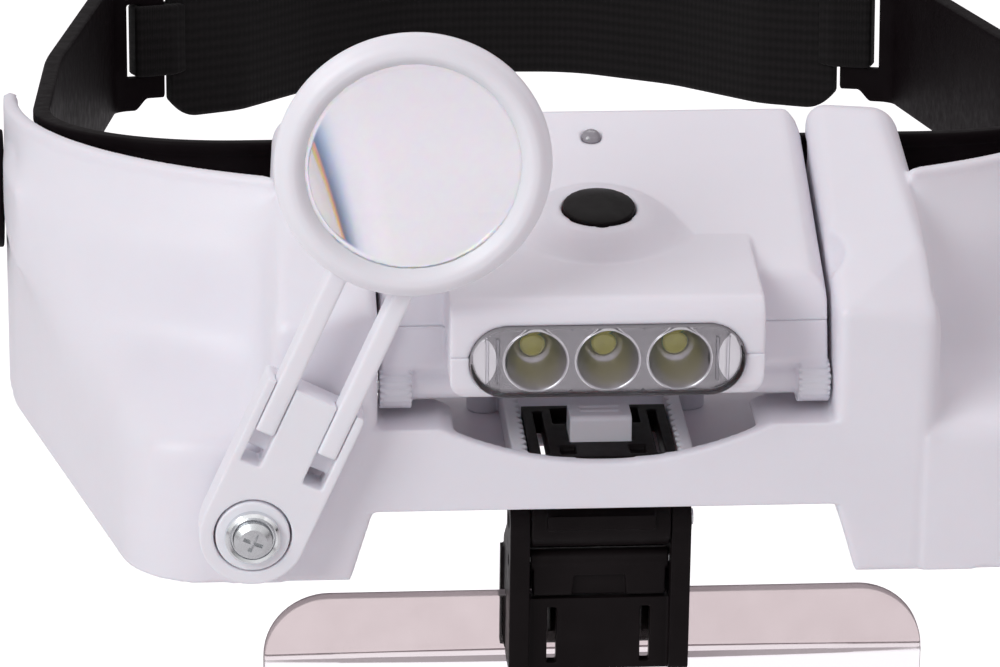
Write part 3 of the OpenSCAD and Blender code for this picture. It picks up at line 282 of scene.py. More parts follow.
def woven_elastic():
    """Ribs along the strap with the crossing threads between them, on the strap's own UV map, in metres."""
    f = Finish("woven elastic")
    uv = f.node("UVMap")
    uv.uv_map = "cloth"
    ribs, threads = (f.wave(1 / (20 * width) * math.pi, direction, uv.outputs["UV"])
                     for width, direction in ((0.0009, "Y"), (0.0006, "X")))
    weave = f.math("ADD", ribs, f.math("MULTIPLY", threads, 0.5))
    f.colour(f.blend(f.spread(weave, 0, 1, 0.2, 1.3), (0.0025, 0.0018, 0.002), (0.0075, 0.006, 0.0065)))
    f.bump(weave, 1.0e-4)
    f.set(Roughness=0.85, Specular_IOR_Level=0.2, Sheen_Weight=0.03, Sheen_Roughness=0.4)
    return f.mat


def solder_mask():
    f = Finish("solder mask")
    f.colour(f.blend(f.spread(f.cells(420), 0, 1, 0.2, 0.3), (0.02, 0.12, 0.05), (0.03, 0.2, 0.09)))
    f.set(Roughness=0.3, Coat_Weight=0.4)
    return f.mat


def lamp_phosphor():
    f = Finish("lamp phosphor")
    f.clouded(700, 2, (0.34, 0.3, 0.03), (0.42, 0.38, 0.06))
    f.set(Roughness=0.35, Coat_Weight=0.5)
    return f.mat


def smoke_dome():
    f = Finish("smoke dome")
    f.clouded(500, 2, (0.44, 0.41, 0.46), (0.5, 0.47, 0.52))
    f.set(Roughness=0.16, Transmission_Weight=0.45, IOR=1.5, Coat_Weight=0.5)
    return f.mat


def cell_foil():
    f = Finish("cell foil")
    f.set(Metallic=0.8)
    f.clouded(200, 4, (0.6, 0.61, 0.63), (0.7, 0.71, 0.73))
    f.uneven(600, 3, 0.3, 0.45)
    f.bump(f.noise(260, 3), 6e-5)
    return f.mat


WHITE = moulded_white("visor white", (0.855, 0.835, 0.895), (0.84, 0.82, 0.88), 1.2e-5, 0.42)
LAMP_WHITE = moulded_white("lamp cover white", (0.845, 0.82, 0.88), (0.83, 0.805, 0.865), 6e-6, 0.36)
LOUPE_WHITE = moulded_white("loupe white", (0.885, 0.875, 0.93), (0.875, 0.862, 0.915), 8e-7, 0.34)
BLACK = moulded_black("band black", (0.0055, 0.0035, 0.0042), (0.008, 0.006, 0.0068), 1.2e-5, 0.46)
HOLDER_BLACK = moulded_black("holder black", (0.0065, 0.0046, 0.005), (0.0105, 0.008, 0.0085), 6e-6,
                             0.4, 2400, 0.08)
STEEL = bright_metal("bright steel", (0.68, 0.69, 0.71), 0.22)
CHROME = bright_metal("chromed cup", (0.83, 0.84, 0.86), 0.07, False)
CUP_CHROME = cup_chrome(BOX_X * MM, WINDOW_Z * MM, CUP_PITCH * MM, CUP_MOUTH * MM)
LENS = split_glass("loupe acrylic", (0.985, 0.98, 0.985), 1.49, 0.013)
WINDOW = window_plastic()
PLATE = plate_plastic((PLATE_TOP - TAB_H) * MM)
ELASTIC = woven_elastic()
FOAM = pad_foam()
BOARD = solder_mask()

FINISH = {
    "visor_shell": WHITE,
    "lamp_upper_cover": LAMP_WHITE, "lamp_lower_cover": LAMP_WHITE,
    "loupe_ring": LOUPE_WHITE, "loupe_base_arm": LOUPE_WHITE, "loupe_bush": LOUPE_WHITE,
    "rack_track": LOUPE_WHITE, "release_latch": LOUPE_WHITE,
    "headband_frame": BLACK, "clamp_knob_left": BLACK, "clamp_knob_right": BLACK,
    "pivot_washers": HOLDER_BLACK, "power_button": HOLDER_BLACK, "tact_switch": HOLDER_BLACK,
    "switch_plunger": HOLDER_BLACK, "lens_carriage": HOLDER_BLACK, "lens_holder": HOLDER_BLACK,
    "clip_lever": HOLDER_BLACK,
    "pivot_bolts": STEEL, "track_screws": STEEL, "lamp_hinge_pins": STEEL, "lamp_cover_screws": STEEL,
    "board_screws": STEEL, "charge_socket": STEEL, "loupe_screw": STEEL, "holder_hinge_pin": STEEL,
    "lever_pin": STEEL,
    "loupe_cup_washer": CHROME, "reflector": CUP_CHROME,
    "light_window": WINDOW, "lens_plate": PLATE, "loupe_lens": LENS,
    "indicator_lens": smoke_dome(), "led_chips": lamp_phosphor(),
    "led_board": BOARD, "main_board": BOARD, "battery_cell": cell_foil(),
    "brow_pad": FOAM, "elastic_strap": ELASTIC,
}
for node, obj in NODES.items():
    obj.data.materials.clear()
    obj.data.materials.append(FINISH[node])


# Mesh helpers
def add_object(name, data):
    obj = bpy.data.objects.new(name, data)
    bpy.context.collection.objects.link(obj)
    return obj


def frozen(obj, name):
    """A new object from obj with its modifiers applied; obj is removed."""
    deps = bpy.context.evaluated_depsgraph_get()
    mesh = bpy.data.meshes.new_from_object(obj.evaluated_get(deps))
    mesh.name = name
    old = obj.data
    bpy.data.objects.remove(obj)
    bpy.data.meshes.remove(old)
    return add_object(name, mesh)


def merged_copy(name, node):
    """The mesh of a CAD node with its doubles merged, as a new object."""
    bm = bmesh.new()
    bm.from_mesh(NODES[node].data)
    bmesh.ops.remove_doubles(bm, verts=bm.verts, dist=2e-6)
    mesh = bpy.data.meshes.new(name)
    bm.to_mesh(mesh)
    bm.free()
    return add_object(name, mesh)


def triangles(mesh):
    return sum(len(p.vertices) - 2 for p in mesh.polygons)


def point_values(mesh, what):
    """The place ("co") or the normal of every point of a mesh, one row to a point."""
    values = np.empty(len(mesh.vertices) * 3, dtype=np.float32)
    mesh.vertices.foreach_get(what, values)
    return values.reshape(-1, 3).astype(float)


def set_points(mesh, co):
    mesh.vertices.foreach_set("co", np.asarray(co, dtype=np.float32).ravel())
    mesh.update()


def shade(mesh, smooth=True, angle=None):
    """Smooth or flat faces; edges sharper than the angle, in degrees, are kept sharp."""
    for p in mesh.polygons:
        p.use_smooth = smooth
    if angle is not None:
        mesh.set_sharp_from_angle(angle=math.radians(angle))


def mesh_from(name, points, faces, smooth=True, angle=None):
    """A mesh object in metres from points in millimetres; its normals are made to point outwards."""
    mesh = bpy.data.meshes.new(name)
    mesh.from_pydata([tuple(float(c) * MM for c in p) for p in points], [], faces)
    bm = bmesh.new()
    bm.from_mesh(mesh)
    bmesh.ops.remove_doubles(bm, verts=bm.verts, dist=1e-7)
    bmesh.ops.recalc_face_normals(bm, faces=bm.faces)
    bm.to_mesh(mesh)
    bm.free()
    shade(mesh, smooth, angle)
    return add_object(name, mesh)


def compass(n):
    """The cosine and sine of n even steps round a circle."""
    return [(math.cos(2 * math.pi * k / n), math.sin(2 * math.pi * k / n)) for k in range(n)]


def tube_faces(rings, n, ends=False):
    """Faces between neighbouring rings of n points, and over the first and last ring where ends is set."""
    faces = [(i * n + k, i * n + (k + 1) % n, (i + 1) * n + (k + 1) % n, (i + 1) * n + k)
             for i in range(rings - 1) for k in range(n)]
    if ends:
        faces += [tuple(range(n)), tuple((rings - 1) * n + k for k in range(n))]
    return faces


def dress(obj, material, body, slot, *nodes):
    """Gives a finished piece its material and body, and hides the CAD nodes that it stands for. The slot is
    not used.
    """
    obj.data.materials.clear()
    obj.data.materials.append(material)
    if nodes:
        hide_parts(*nodes)
    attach(obj, body)
    return obj


# Cosines between a point's normal and the CAD face's: above FLAT a point lies on the face, and below
# ROUND it belongs to a rounded edge
FLAT, ROUND = 0.998, 0.98


def settle(mesh, tree, reach):
    """Pulls points back onto flat CAD faces; near edges, where the normals part, they stay rounded."""
    co = point_values(mesh, "co")
    for k, n in enumerate(point_values(mesh, "normal")):
        hit, face, _, _ = tree.find_nearest(co[k], reach * MM)
        if hit is None:
            continue
        turn = abs(n[0] * face[0] + n[1] * face[1] + n[2] * face[2])
        share = (turn - ROUND) / (FLAT - ROUND)
        if share > 0:
            share = min(1.0, share)
            co[k] += (np.array(hit) - co[k]) * (share * share * (3 - 2 * share))
    set_points(mesh, co)


def add_smoothing(obj, factor, rounds, group=""):
    """Adds rounds of smoothing, to a group of points where one is named."""
    smoothing = obj.modifiers.new("ease", "SMOOTH")
    smoothing.factor = factor
    smoothing.iterations = rounds
    smoothing.vertex_group = group


def moulded(name, node, voxel, passes, most, flat=True, fit=None, soften=None, rounds=0, last=None):
    """A moulded form of a CAD node: one skin with soft edges, thinned to most triangles.

    The skin is settled on the CAD faces where flat is set. fit moves its points, soften says how much
    each is smoothed in that many rounds, and last moves them once more at the end.
    """
    obj = merged_copy(name, node)
    bm = bmesh.new()
    bm.from_mesh(obj.data)
    tree = BVHTree.FromBMesh(bm)
    bm.free()
    skin = obj.modifiers.new("skin", "REMESH")
    skin.mode = "VOXEL"
    skin.voxel_size = voxel * MM
    skin.adaptivity = 0.0
    add_smoothing(obj, 0.5, passes)
    obj = frozen(obj, name)
    if flat:
        settle(obj.data, tree, 1.2 * voxel)
    if fit is not None:
        fit(obj.data)
    if soften is not None:
        share = soften(obj.data)
        group = obj.vertex_groups.new(name="soft")
        for k in np.nonzero(share > 0.02)[0]:
            group.add([int(k)], float(share[k]), "REPLACE")
        add_smoothing(obj, 0.5, rounds, "soft")
    add_smoothing(obj, 0.4, 1)
    obj = frozen(obj, name)
    obj.vertex_groups.clear()
    if last is not None:
        last(obj.data)
    count = triangles(obj.data)
    if count > most:
        thin = obj.modifiers.new("thin", "DECIMATE")
        thin.ratio = most / count
        obj = frozen(obj, name)
    shade(obj.data)
    return obj


def mould_each(flat, *rows):
    """Moulds and dresses one piece for each row, settled on the CAD faces where flat is set.

    A row is name, CAD node, voxel, smoothing passes, most triangles, material, body, slot.
    """
    for name, node, voxel, passes, most, material, body, slot in rows:
        dress(moulded(name, node, voxel, passes, most, flat), material, body, slot, node)


def repeat_tree(name, ring):
    """Node tree that repeats a piece along a line, or round a ring about X, as real geometry."""
    tree = bpy.data.node_groups.new(name, "GeometryNodeTree")
    face = tree.interface
    for label, kind in (("Piece", "Object"), ("Count", "Int"), ("Material", "Material")):
        face.new_socket(label, in_out="INPUT", socket_type="NodeSocket" + kind)
    face.new_socket("Start", in_out="INPUT", socket_type="NodeSocketVector")
    face.new_socket("Step", in_out="INPUT", socket_type="NodeSocketVector")
    face.new_socket("Geometry", in_out="OUTPUT", socket_type="NodeSocketGeometry")
    nodes, links = tree.nodes, tree.links
    given, out = nodes.new("NodeGroupInput"), nodes.new("NodeGroupOutput")
    piece = nodes.new("GeometryNodeObjectInfo")
    links.new(given.outputs["Piece"], piece.inputs["Object"])
    line = nodes.new("GeometryNodeMeshLine")
    links.new(given.outputs["Count"], line.inputs["Count"])
    put = nodes.new("GeometryNodeInstanceOnPoints")
    links.new(line.outputs["Mesh"], put.inputs["Points"])
    links.new(piece.outputs["Geometry"], put.inputs["Instance"])
    if ring:
        # each copy is turned about X by its number times the step
        number = nodes.new("GeometryNodeInputIndex")
        turn = nodes.new("ShaderNodeVectorMath")
        turn.operation = "SCALE"
        links.new(given.outputs["Step"], turn.inputs[0])
        links.new(number.outputs[0], turn.inputs["Scale"])
        shift = nodes.new("ShaderNodeVectorMath")
        shift.operation = "ADD"
        links.new(turn.outputs[0], shift.inputs[0])
        links.new(given.outputs["Start"], shift.inputs[1])
        line.inputs["Offset"].default_value = (0, 0, 0)
        links.new(shift.outputs[0], put.inputs["Rotation"])
    else:
        links.new(given.outputs["Start"], line.inputs["Start Location"])
        links.new(given.outputs["Step"], line.inputs["Offset"])
    real = nodes.new("GeometryNodeRealizeInstances")
    links.new(put.outputs["Instances"], real.inputs[0])
    paint = nodes.new("GeometryNodeSetMaterial")
    links.new(real.outputs[0], paint.inputs["Geometry"])
    links.new(given.outputs["Material"], paint.inputs["Material"])
    links.new(paint.outputs[0], out.inputs[0])
    return tree


LINE_TREE = repeat_tree("repeat along a line", False)
RING_TREE = repeat_tree("repeat round a ring", True)


def repeated(name, piece, tree, material, count, start, step):
    """A new object made by the tree from the piece, which is removed."""
    holder = add_object(name + "_maker", bpy.data.meshes.new(name + "_maker"))
    maker = holder.modifiers.new("maker", "NODES")
    maker.node_group = tree
    values = {"Piece": piece, "Count": count, "Material": material, "Start": start, "Step": step}
    for item in tree.interface.items_tree:
        if item.in_out == "INPUT":
            maker[item.identifier] = values[item.name]
    obj = frozen(holder, name)
    bpy.data.objects.remove(piece)
    return obj


def grid_tree(points, rows, cols):
    """A search tree over a grid of points in millimetres, rows by cols."""
    faces = []
    for i in range(rows - 1):
        for j in range(cols - 1):
            a = i * cols + j
            faces.append((a, a + 1, a + cols + 1, a + cols))
    return BVHTree.FromPolygons([Vector(p) * MM for p in points], faces)


def fair(mesh, trees, near, far, agree):
    """Pulls points onto the true surfaces in trees where they lie near one and face the same way."""
    co = point_values(mesh, "co")
    for k, (p, n) in enumerate(zip(co, point_values(mesh, "normal"))):
        best = None
        for tree in trees:
            hit, face, _, dist = tree.find_nearest(Vector(p), far * MM)
            if hit is not None and abs(Vector(n).dot(face)) > agree and (best is None or dist < best[1]):
                best = (hit, dist)
        if best is not None:
            share = min(1.0, max(0.0, (far * MM - best[1]) / ((far - near) * MM)))
            co[k] = p + (np.array(best[0]) - p) * share
    set_points(mesh, co)


# Plan curves, in millimetres
def unit(v):
    return v / np.linalg.norm(v)


def arc(x, y, radius, start, end, n):
    """n points of an arc about (x, y), from one angle to another."""
    return [(x + radius * math.cos(a), y + radius * math.sin(a)) for a in np.linspace(start, end, n)]


def corner(a, b, c, radius, n):
    """An arc of that radius in the corner b between a and c."""
    u, v = unit(a - b), unit(c - b)
    half = math.acos(max(-1.0, min(1.0, float(u @ v)))) / 2
    m = b + unit(u + v) * (radius / math.sin(half))
    p, q = b + u * (radius / math.tan(half)), b + v * (radius / math.tan(half))
    a0, a1 = math.atan2(*(p - m)[::-1]), math.atan2(*(q - m)[::-1])
    turn = (a1 - a0 + math.pi) % (2 * math.pi) - math.pi
    return [m + radius * np.array([math.cos(a0 + turn * i / n), math.sin(a0 + turn * i / n)])
            for i in range(n + 1)]


def rounded(pts, n):
    """An open path through corners (x, y, radius)."""
    pts = [(np.array(p[:2], dtype=float), p[2]) for p in pts]
    path = []
    for i, (b, r) in enumerate(pts):
        if i in (0, len(pts) - 1) or r == 0:
            path.append(b)
        else:
            path.extend(corner(pts[i - 1][0], b, pts[i + 1][0], r, n))
    return np.array(path)


def closed(pts, radii, n):
    """A closed path through corners (x, y), each with its own radius."""
    pts = [np.array(p) for p in pts]
    path = []
    for i, b in enumerate(pts):
        path += corner(pts[i - 1], b, pts[(i + 1) % len(pts)], radii[i], n)
    return np.array(path)


def last_crossing(path, centre, direction):
    """The farthest point where a ray from centre crosses a closed path."""
    best = 0.0
    for i in range(len(path)):
        a, b = path[i - 1] - centre, path[i] - centre
        e = b - a
        det = direction[0] * e[1] - direction[1] * e[0]
        if abs(det) < 1e-9:
            continue
        t = (a[0] * e[1] - a[1] * e[0]) / det
        u = (a[0] * direction[1] - a[1] * direction[0]) / det
        if t > 0 and -1e-6 <= u <= 1 + 1e-6:
            best = max(best, t)
    return centre + direction * best


def beside(path, d):
    """A path moved sideways by d."""
    t = np.empty_like(path)
    t[1:-1] = path[2:] - path[:-2]
    t[0], t[-1] = path[1] - path[0], path[-1] - path[-2]
    t /= np.linalg.norm(t, axis=1)[:, None]
    return path + d * np.stack([t[:, 1], -t[:, 0]], axis=1)


def lengths(path):
    return np.concatenate([[0], np.cumsum(np.linalg.norm(np.diff(path, axis=0), axis=1))])


def along(path, shares):
    """Points of a path at shares of its length."""
    s = lengths(path)
    return np.stack([np.interp(np.asarray(shares) * s[-1], s, path[:, k]) for k in (0, 1)], axis=1)


def smooth(t):
    c = np.clip(t, 0, 1)
    return c * c * (3 - 2 * c)


def mix(a, b, t):
    return a + (b - a) * t


def mirrored(points):
    return [(-p[0], p[1], p[2]) for p in points]


# Visor
EAR_X, WALL, FRONT_Y, BOTTOM_Z = 88.5, 2.2, 140.0, 25.0
TOP_EAR_Z, TOP_MID_Z, TOP_DEPTH, BROW_OUT = 24.6, 28.4, 60.3, 6.0
SHELF_Z, SHELF_H, SHELF_EAR_H, SHELF_RUN, BAND_LOW, BAND_HIGH = 0.0, 7.0, 12, 0.55, 9.0, 4.5
EAR_BACK, EAR_FRONT, EAR_RUN, WING_IN, EAR_FACE = 48.5, 63.0, 0.12, 47.5, EAR_X - 0.2
FOOT = rounded([(EAR_FACE, -EAR_FRONT, 0), (EAR_X - 1.3, -71, 30), (68.2, -FRONT_Y, 13),
                (WING_IN, -FRONT_Y, 0)], 60)
FOOT_IN = beside(FOOT, WALL)
RIM_R, RIM_X, RIM_Y, RIM_REACH, RIM_MOVE = 0.8, 48.5, 50.0, 3.5, 0.7


def past_ear(u):
    """How far along the wing u is once it has left the ear, from 0 to 1."""
    return max(0.0, (u - EAR_RUN) / (1 - EAR_RUN))


def wing_top(u):
    return mix(TOP_EAR_Z, TOP_MID_Z, past_ear(u))


def wing_point(u, z, off):
    """A point of the wing's outer face, or of its inner face where off is the wall."""
    z1 = z + off
    f = past_ear(u)
    low = SHELF_Z - SHELF_H / 2
    high = mix(SHELF_Z + SHELF_EAR_H, SHELF_Z + SHELF_H / 2, smooth(f / SHELF_RUN))
    a = smooth((z1 - low) / (high - low))
    b = smooth((z1 - (wing_top(u) - BAND_LOW)) / (BAND_LOW - BAND_HIGH))
    if u < EAR_RUN:
        ear = np.array([EAR_FACE - off, -mix(EAR_BACK - 3, EAR_FRONT, u / EAR_RUN)])
        foot = brow = band = ear
    else:
        foot = along(FOOT_IN if off > 0 else FOOT, [f])[0]
        t = mix(math.pi / 2, math.asin(WING_IN / EAR_X), f)
        n = unit(np.array([math.sin(t) / EAR_X, -math.cos(t) / TOP_DEPTH]))
        base = np.array([EAR_FACE * math.sin(t), -EAR_FRONT - TOP_DEPTH * math.cos(t)])
        brow = base + n * (BROW_OUT * smooth(f / SHELF_RUN) - off)
        band = base - n * off
    p = mix(mix(foot, brow, a), band, b)
    return (p[0], p[1], z)


def both_sides(points, rows, cols):
    """Search trees over a grid of points on the left wing and over its mirror image."""
    return [grid_tree(side, rows, cols) for side in (points, mirrored(points))]


def wing_trees():
    """Search trees over the true outer and inner faces of both wings, and over their upper rims."""
    us = np.linspace(0, 0.985, 150)
    up, over = 90, 4
    trees = []
    for off in (0.0, WALL):
        face = [wing_point(u, z, off) for u in us for z in np.linspace(-BOTTOM_Z, wing_top(u) - off, up)]
        trees += both_sides(face, len(us), up)
    rim = [wing_point(u, wing_top(u), off) for u in us for off in np.linspace(0, WALL, over)]
    return trees + both_sides(rim, len(us), over)


def fair_wings(mesh):
    fair(mesh, wing_trees(), near=0.35, far=0.8, agree=0.86)


def wing_softness(mesh):
    """How far each point of the wings' outer faces is blended: none at the rims, all in the middle."""
    co = point_values(mesh, "co") / MM
    normals = point_values(mesh, "normal")
    x, ahead, z = np.abs(co[:, 0]), -co[:, 1], co[:, 2]
    outward = normals[:, 0] * np.sign(co[:, 0]) * 0.7 - normals[:, 1] * 0.7
    top = np.interp(x, [47, 88], [TOP_MID_Z, TOP_EAR_Z])
    off_pillar = smooth((x - 47.6) / 2.4)
    below_rim = smooth((top - 0.9 - z) / 2.5)
    above_foot = smooth((z + BOTTOM_Z - 6) / 6)
    off_ear = smooth((86.5 - x) / 3.0) * smooth((ahead - 52) / 6)
    nose = 0.85 * smooth((ahead - 134) / 3)
    return off_pillar * below_rim * above_foot * (off_ear * (outward > 0.12)) * (1 - nose)


def even_rims(mesh):
    """Puts the points along the wings' upper rims onto one even rounded edge.

    Only points past RIM_X and RIM_Y are moved, and none farther than RIM_MOVE.
    """
    us = np.linspace(0, 1, 220)
    tops = [wing_top(u) for u in us]
    sheet = [wing_point(u, top + h, 0) for u, top in zip(us, tops) for h in np.linspace(-6, 2, 9)]
    trees = both_sides(sheet, len(us), 9)
    depths = [-wing_point(u, top, 0)[1] for u, top in zip(us, tops)]
    co = point_values(mesh, "co") / MM
    over = co[:, 2] - np.interp(-co[:, 1], depths, tops)
    near = (over > -1.6) & (over < 0.8) & (np.abs(co[:, 0]) > RIM_X) & (co[:, 1] < -RIM_Y)
    for k in np.nonzero(near)[0]:
        p = co[k]
        found = [tree.find_nearest(Vector(p) * MM, RIM_REACH * MM) for tree in trees]
        found = [f for f in found if f[0] is not None]
        if not found:
            continue
        hit = np.array(min(found, key=lambda f: f[3])[0]) / MM
        up = p[2] - np.interp(-hit[1], depths, tops)
        out = hit - p
        deep = np.linalg.norm(out)
        if up < -RIM_R or deep < 1e-4 or deep > WALL + 0.4:
            continue
        out /= deep
        if deep > WALL / 2:
            out, deep = -out, WALL - deep
        move = np.array([0, 0, -up])
        if deep < RIM_R:
            grow = RIM_R / max(math.hypot(RIM_R - deep, up + RIM_R), 0.1) - 1
            move = out * (RIM_R - deep) * grow + np.array([0, 0, (up + RIM_R) * grow])
        fade = smooth((abs(p[0]) - RIM_X) / 2) * smooth((-p[1] - RIM_Y) / 5)
        co[k] = p + move * float(fade) * min(1.0, RIM_MOVE / max(np.linalg.norm(move), 1e-6))
    set_points(mesh, co * MM)


dress(moulded("visor", "visor_shell", 0.5, 4, 190000, fit=fair_wings, soften=wing_softness, rounds=900,
              last=even_rims),
      WHITE, "visor", "white_plastic", "visor_shell")

# Lamp unit
mould_each(True,
           ("lamp_top", "lamp_upper_cover", 0.36, 3, 90000, LAMP_WHITE, "lamp", "white_plastic"),
           ("lamp_base", "lamp_lower_cover", 0.32, 2, 110000, LAMP_WHITE, "lamp", "white_plastic"),
           ("lamp_button", "power_button", 0.16, 2, 24000, HOLDER_BLACK,
            "power_button_body", "black_plastic"))

# Hinge ribs of the lamp unit
HINGE_Y, HINGE_Z, KNUCKLE_X = -134.0, 3.6, (28.4, 33.1)
RIB_R, RIB_AT, RIBS, RIB_START, RIB_EASE = 0.42, 2.85, 20, 5, 0.15


def rib_bar(length):
    """A round bar along X at the rib radius above the hinge axis, with eased ends."""
    n = 10
    profile = [(0, 0.0), (0, RIB_R * 0.7), (RIB_EASE, RIB_R), (length - RIB_EASE, RIB_R),
               (length, RIB_R * 0.7), (length, 0.0)]
    points = [(x, r * c, RIB_AT + r * s) for x, r in profile for c, s in compass(n)]
    return mesh_from("rib", points, tube_faces(len(profile), n))


for side, x in (("left", KNUCKLE_X[0]), ("right", -KNUCKLE_X[1])):
    ribs = repeated("hinge_ribs_" + side, rib_bar(KNUCKLE_X[1] - KNUCKLE_X[0]), RING_TREE, LAMP_WHITE,
                    RIBS, (math.radians(RIB_START), 0, 0), (math.radians(360 / RIBS), 0, 0))
    ribs.data.transform(Matrix.Translation(Vector((x, HINGE_Y, HINGE_Z)) * MM))
    dress(ribs, LAMP_WHITE, "lamp", "white_plastic")

# Headband
BAND_TILT = math.radians(8.9)
BAND_T, BAND_H, RIM_OUT, CAP_EASE = 2.2, 24.0, 0.5, 0.35
ARM_END, ARM_BEND = np.array([61.9, 62.3]), np.array([71.5, 59.0])
ARM_RUN = rounded([(0, -93.8, 0), (83.2, -93.8, 30), (80.6, -20, 150), (*ARM_BEND, 5), (*ARM_END, 0)], 60)
BAND_PATH = np.concatenate([ARM_RUN[::-1] * [-1, 1], ARM_RUN[1:]])


def in_loop(x, y, z):
    """A point given in the tilted plane of the loop."""
    c, s = math.cos(BAND_TILT), math.sin(BAND_TILT)
    return (x, y * c + z * s, -y * s + z * c)


SLOT_AT, SLOT_W, SLOT_H, SLOT_UP, TAB_STEP = 5.9, 2.7, 13.5, 0.8, 2.1
ARM_DIR = unit(ARM_END - ARM_BEND)
SLOT_C = ARM_END - SLOT_AT * ARM_DIR
PIVOT_Y, PIVOT_Z, ARM_X_IN, BOSS_OUT, BOSS_R, BOLT_R = -62.0, 8.6, 81.0, 84.8, 9.0, 2.5


def at_arm_end(sign, u, v, z):
    """A point at the end of an arm: u through the arm, v towards its end, z along the slot."""
    side = np.array([ARM_DIR[1], -ARM_DIR[0]])
    p = SLOT_C + v * ARM_DIR + u * side
    return in_loop(sign * p[0], p[1], z)


def band_profile(shrink, rim):
    """Half thickness and height pairs round the band's section, with eased corners."""
    h, o, i = BAND_H / 2 * shrink, BAND_T / 2, -BAND_T / 2
    e, lip = 0.45, 2.0
    r = o + RIM_OUT * rim
    ring = []
    for s in (-1, 1):
        part = [(i + e, h), (r - e, h)]
        part += [(r - e + e * math.sin(a), h - e + e * math.cos(a)) for a in np.linspace(0.3, math.pi / 2, 5)]
        part += [(r, h - lip + 0.35), (mix(r, o, 0.5), h - lip), (o, h - lip - 0.35)]
        ring += [(x, -z) for x, z in part] if s < 0 else [(x, z) for x, z in part[::-1]]
        if s < 0:
            ring += [(o, z) for z in np.linspace(-h + lip + 1, h - lip - 1, 7)]
    ring += [(i + e - e * math.sin(a), h - e + e * math.cos(a)) for a in np.linspace(0.3, math.pi / 2, 5)]
    ring += [(i, z) for z in np.linspace(h - 1.5, -h + 1.5, 9)]
    ring += [(i + e - e * math.sin(a), -h + e - e * math.cos(a)) for a in np.linspace(math.pi / 2, 0.3, 5)]
    return ring


def band():
    """The band round the brow and its two arms, lofted along its curve, with slots and bosses cut."""
    total = lengths(BAND_PATH)[-1]
    # the rings stand closer in the last 14 mm of each arm, where its slot is
    shares = np.concatenate([np.linspace(0, 14, 70), np.linspace(14.4, total - 14.4, 620),
                             np.linspace(total - 14, total, 70)]) / total
    path = along(BAND_PATH, shares)
    out = beside(path, 1.0) - path
    points, m = [], 0
    for p, o, s in zip(path, out, shares):
        from_end = min(s, 1 - s) * total
        low = float(smooth((SLOT_AT - from_end) / SLOT_W))
        cap = CAP_EASE * (1 - min(1.0, from_end / CAP_EASE)) ** 2
        ring = band_profile(1 - low * TAB_STEP / (BAND_H / 2), 1 - low)
        m = len(ring)
        for x, z in ring:
            x, z = x - math.copysign(min(cap, abs(x)), x), z - math.copysign(cap, z)
            q = p + o * x
            points.append(in_loop(q[0], q[1], z))
    n = len(path)
    obj = mesh_from("band", points, tube_faces(n, m, True))
    bosses, cutters = [], []
    boss = BOSS_OUT - ARM_X_IN
    boss_profile = [(0.4, BOSS_R), (boss - 0.6, BOSS_R), (boss - 0.25, BOSS_R - 0.12), (boss, BOSS_R - 0.6)]
    w, h, e = SLOT_W / 2, SLOT_H / 2, 0.5
    ring = arc(w - e, h - e, e, 0, math.pi / 2, 6)
    ring += [(-v, z) for v, z in ring[::-1]]
    ring += [(v, -z) for v, z in ring[::-1]]
    for s in (-1, 1):
        bosses.append(turned_x("boss", boss_profile, s * ARM_X_IN, s, 64))
        box = [at_arm_end(s, u, v, SLOT_UP + z) for u in (-4, 4) for v, z in ring]
        cutters.append(mesh_from("slot", box, tube_faces(2, len(ring), True), False))
        cutters.append(turned_x("flat", [(-10, BOSS_R - 2.5), (0, BOSS_R - 2.5)], s * ARM_X_IN, s, 64))
        cutters.append(turned_x("bore", [(-11, BOLT_R), (9, BOLT_R)], s * ARM_X_IN, s, 48))
    for other in bosses:
        combine(obj, other, "UNION")
    for other in cutters:
        combine(obj, other, "DIFFERENCE")
    obj = frozen(obj, "band")
    for other in bosses + cutters:
        bpy.data.objects.remove(other)
    shade(obj.data, angle=40)
    return obj


def turned_x(name, profile, x, way, n):
    """A closed turned form about the pivot axis: (distance from x, radius) pairs."""
    points = [(x + way * d, PIVOT_Y + r * c, PIVOT_Z + r * s) for d, r in profile for c, s in compass(n)]
    return mesh_from(name, points, tube_faces(len(profile), n, True), False)


def combine(obj, other, operation):
    cut = obj.modifiers.new(other.name, "BOOLEAN")
    cut.operation = operation
    cut.object = other
    cut.solver = "EXACT"


dress(band(), BLACK, "headband", "black_plastic", "headband_frame")

# Knobs, loupe, track, holder
mould_each(True,
           ("knob_left", "clamp_knob_left", 0.28, 2, 50000, BLACK, "knob_left", "black_plastic"),
           ("knob_right", "clamp_knob_right", 0.28, 2, 50000, BLACK, "knob_right", "black_plastic"))
mould_each(False,
           ("loupe_rim", "loupe_ring", 0.22, 16, 180000, LOUPE_WHITE, "loupe", "white_plastic"),
           ("loupe_arm_cover", "loupe_base_arm", 0.2, 10, 180000, LOUPE_WHITE, "loupe_arm", "white_plastic"))
mould_each(True,
           ("loupe_boss", "loupe_bush", 0.18, 1, 30000, LOUPE_WHITE, "visor", "white_plastic"),
           ("track", "rack_track", 0.26, 1, 80000, LOUPE_WHITE, "visor", "track_plastic"),
           ("carriage_slide_block", "lens_carriage", 0.2, 1, 90000, HOLDER_BLACK,
            "carriage", "black_plastic"),
           ("latch_button", "release_latch", 0.14, 1, 30000, LOUPE_WHITE, "latch", "white_plastic"),
           ("holder_clip", "lens_holder", 0.2, 1, 90000, HOLDER_BLACK, "holder", "black_plastic"),
           ("holder_flap", "clip_lever", 0.16, 1, 40000, HOLDER_BLACK, "lever", "black_plastic"))

# Clear pieces
PLATE_HALF_W, PLATE_H, PLATE_CORNER, PLATE_Y, PLATE_EASE = 49.9, 35.0, 10.0, -126.0, 0.45


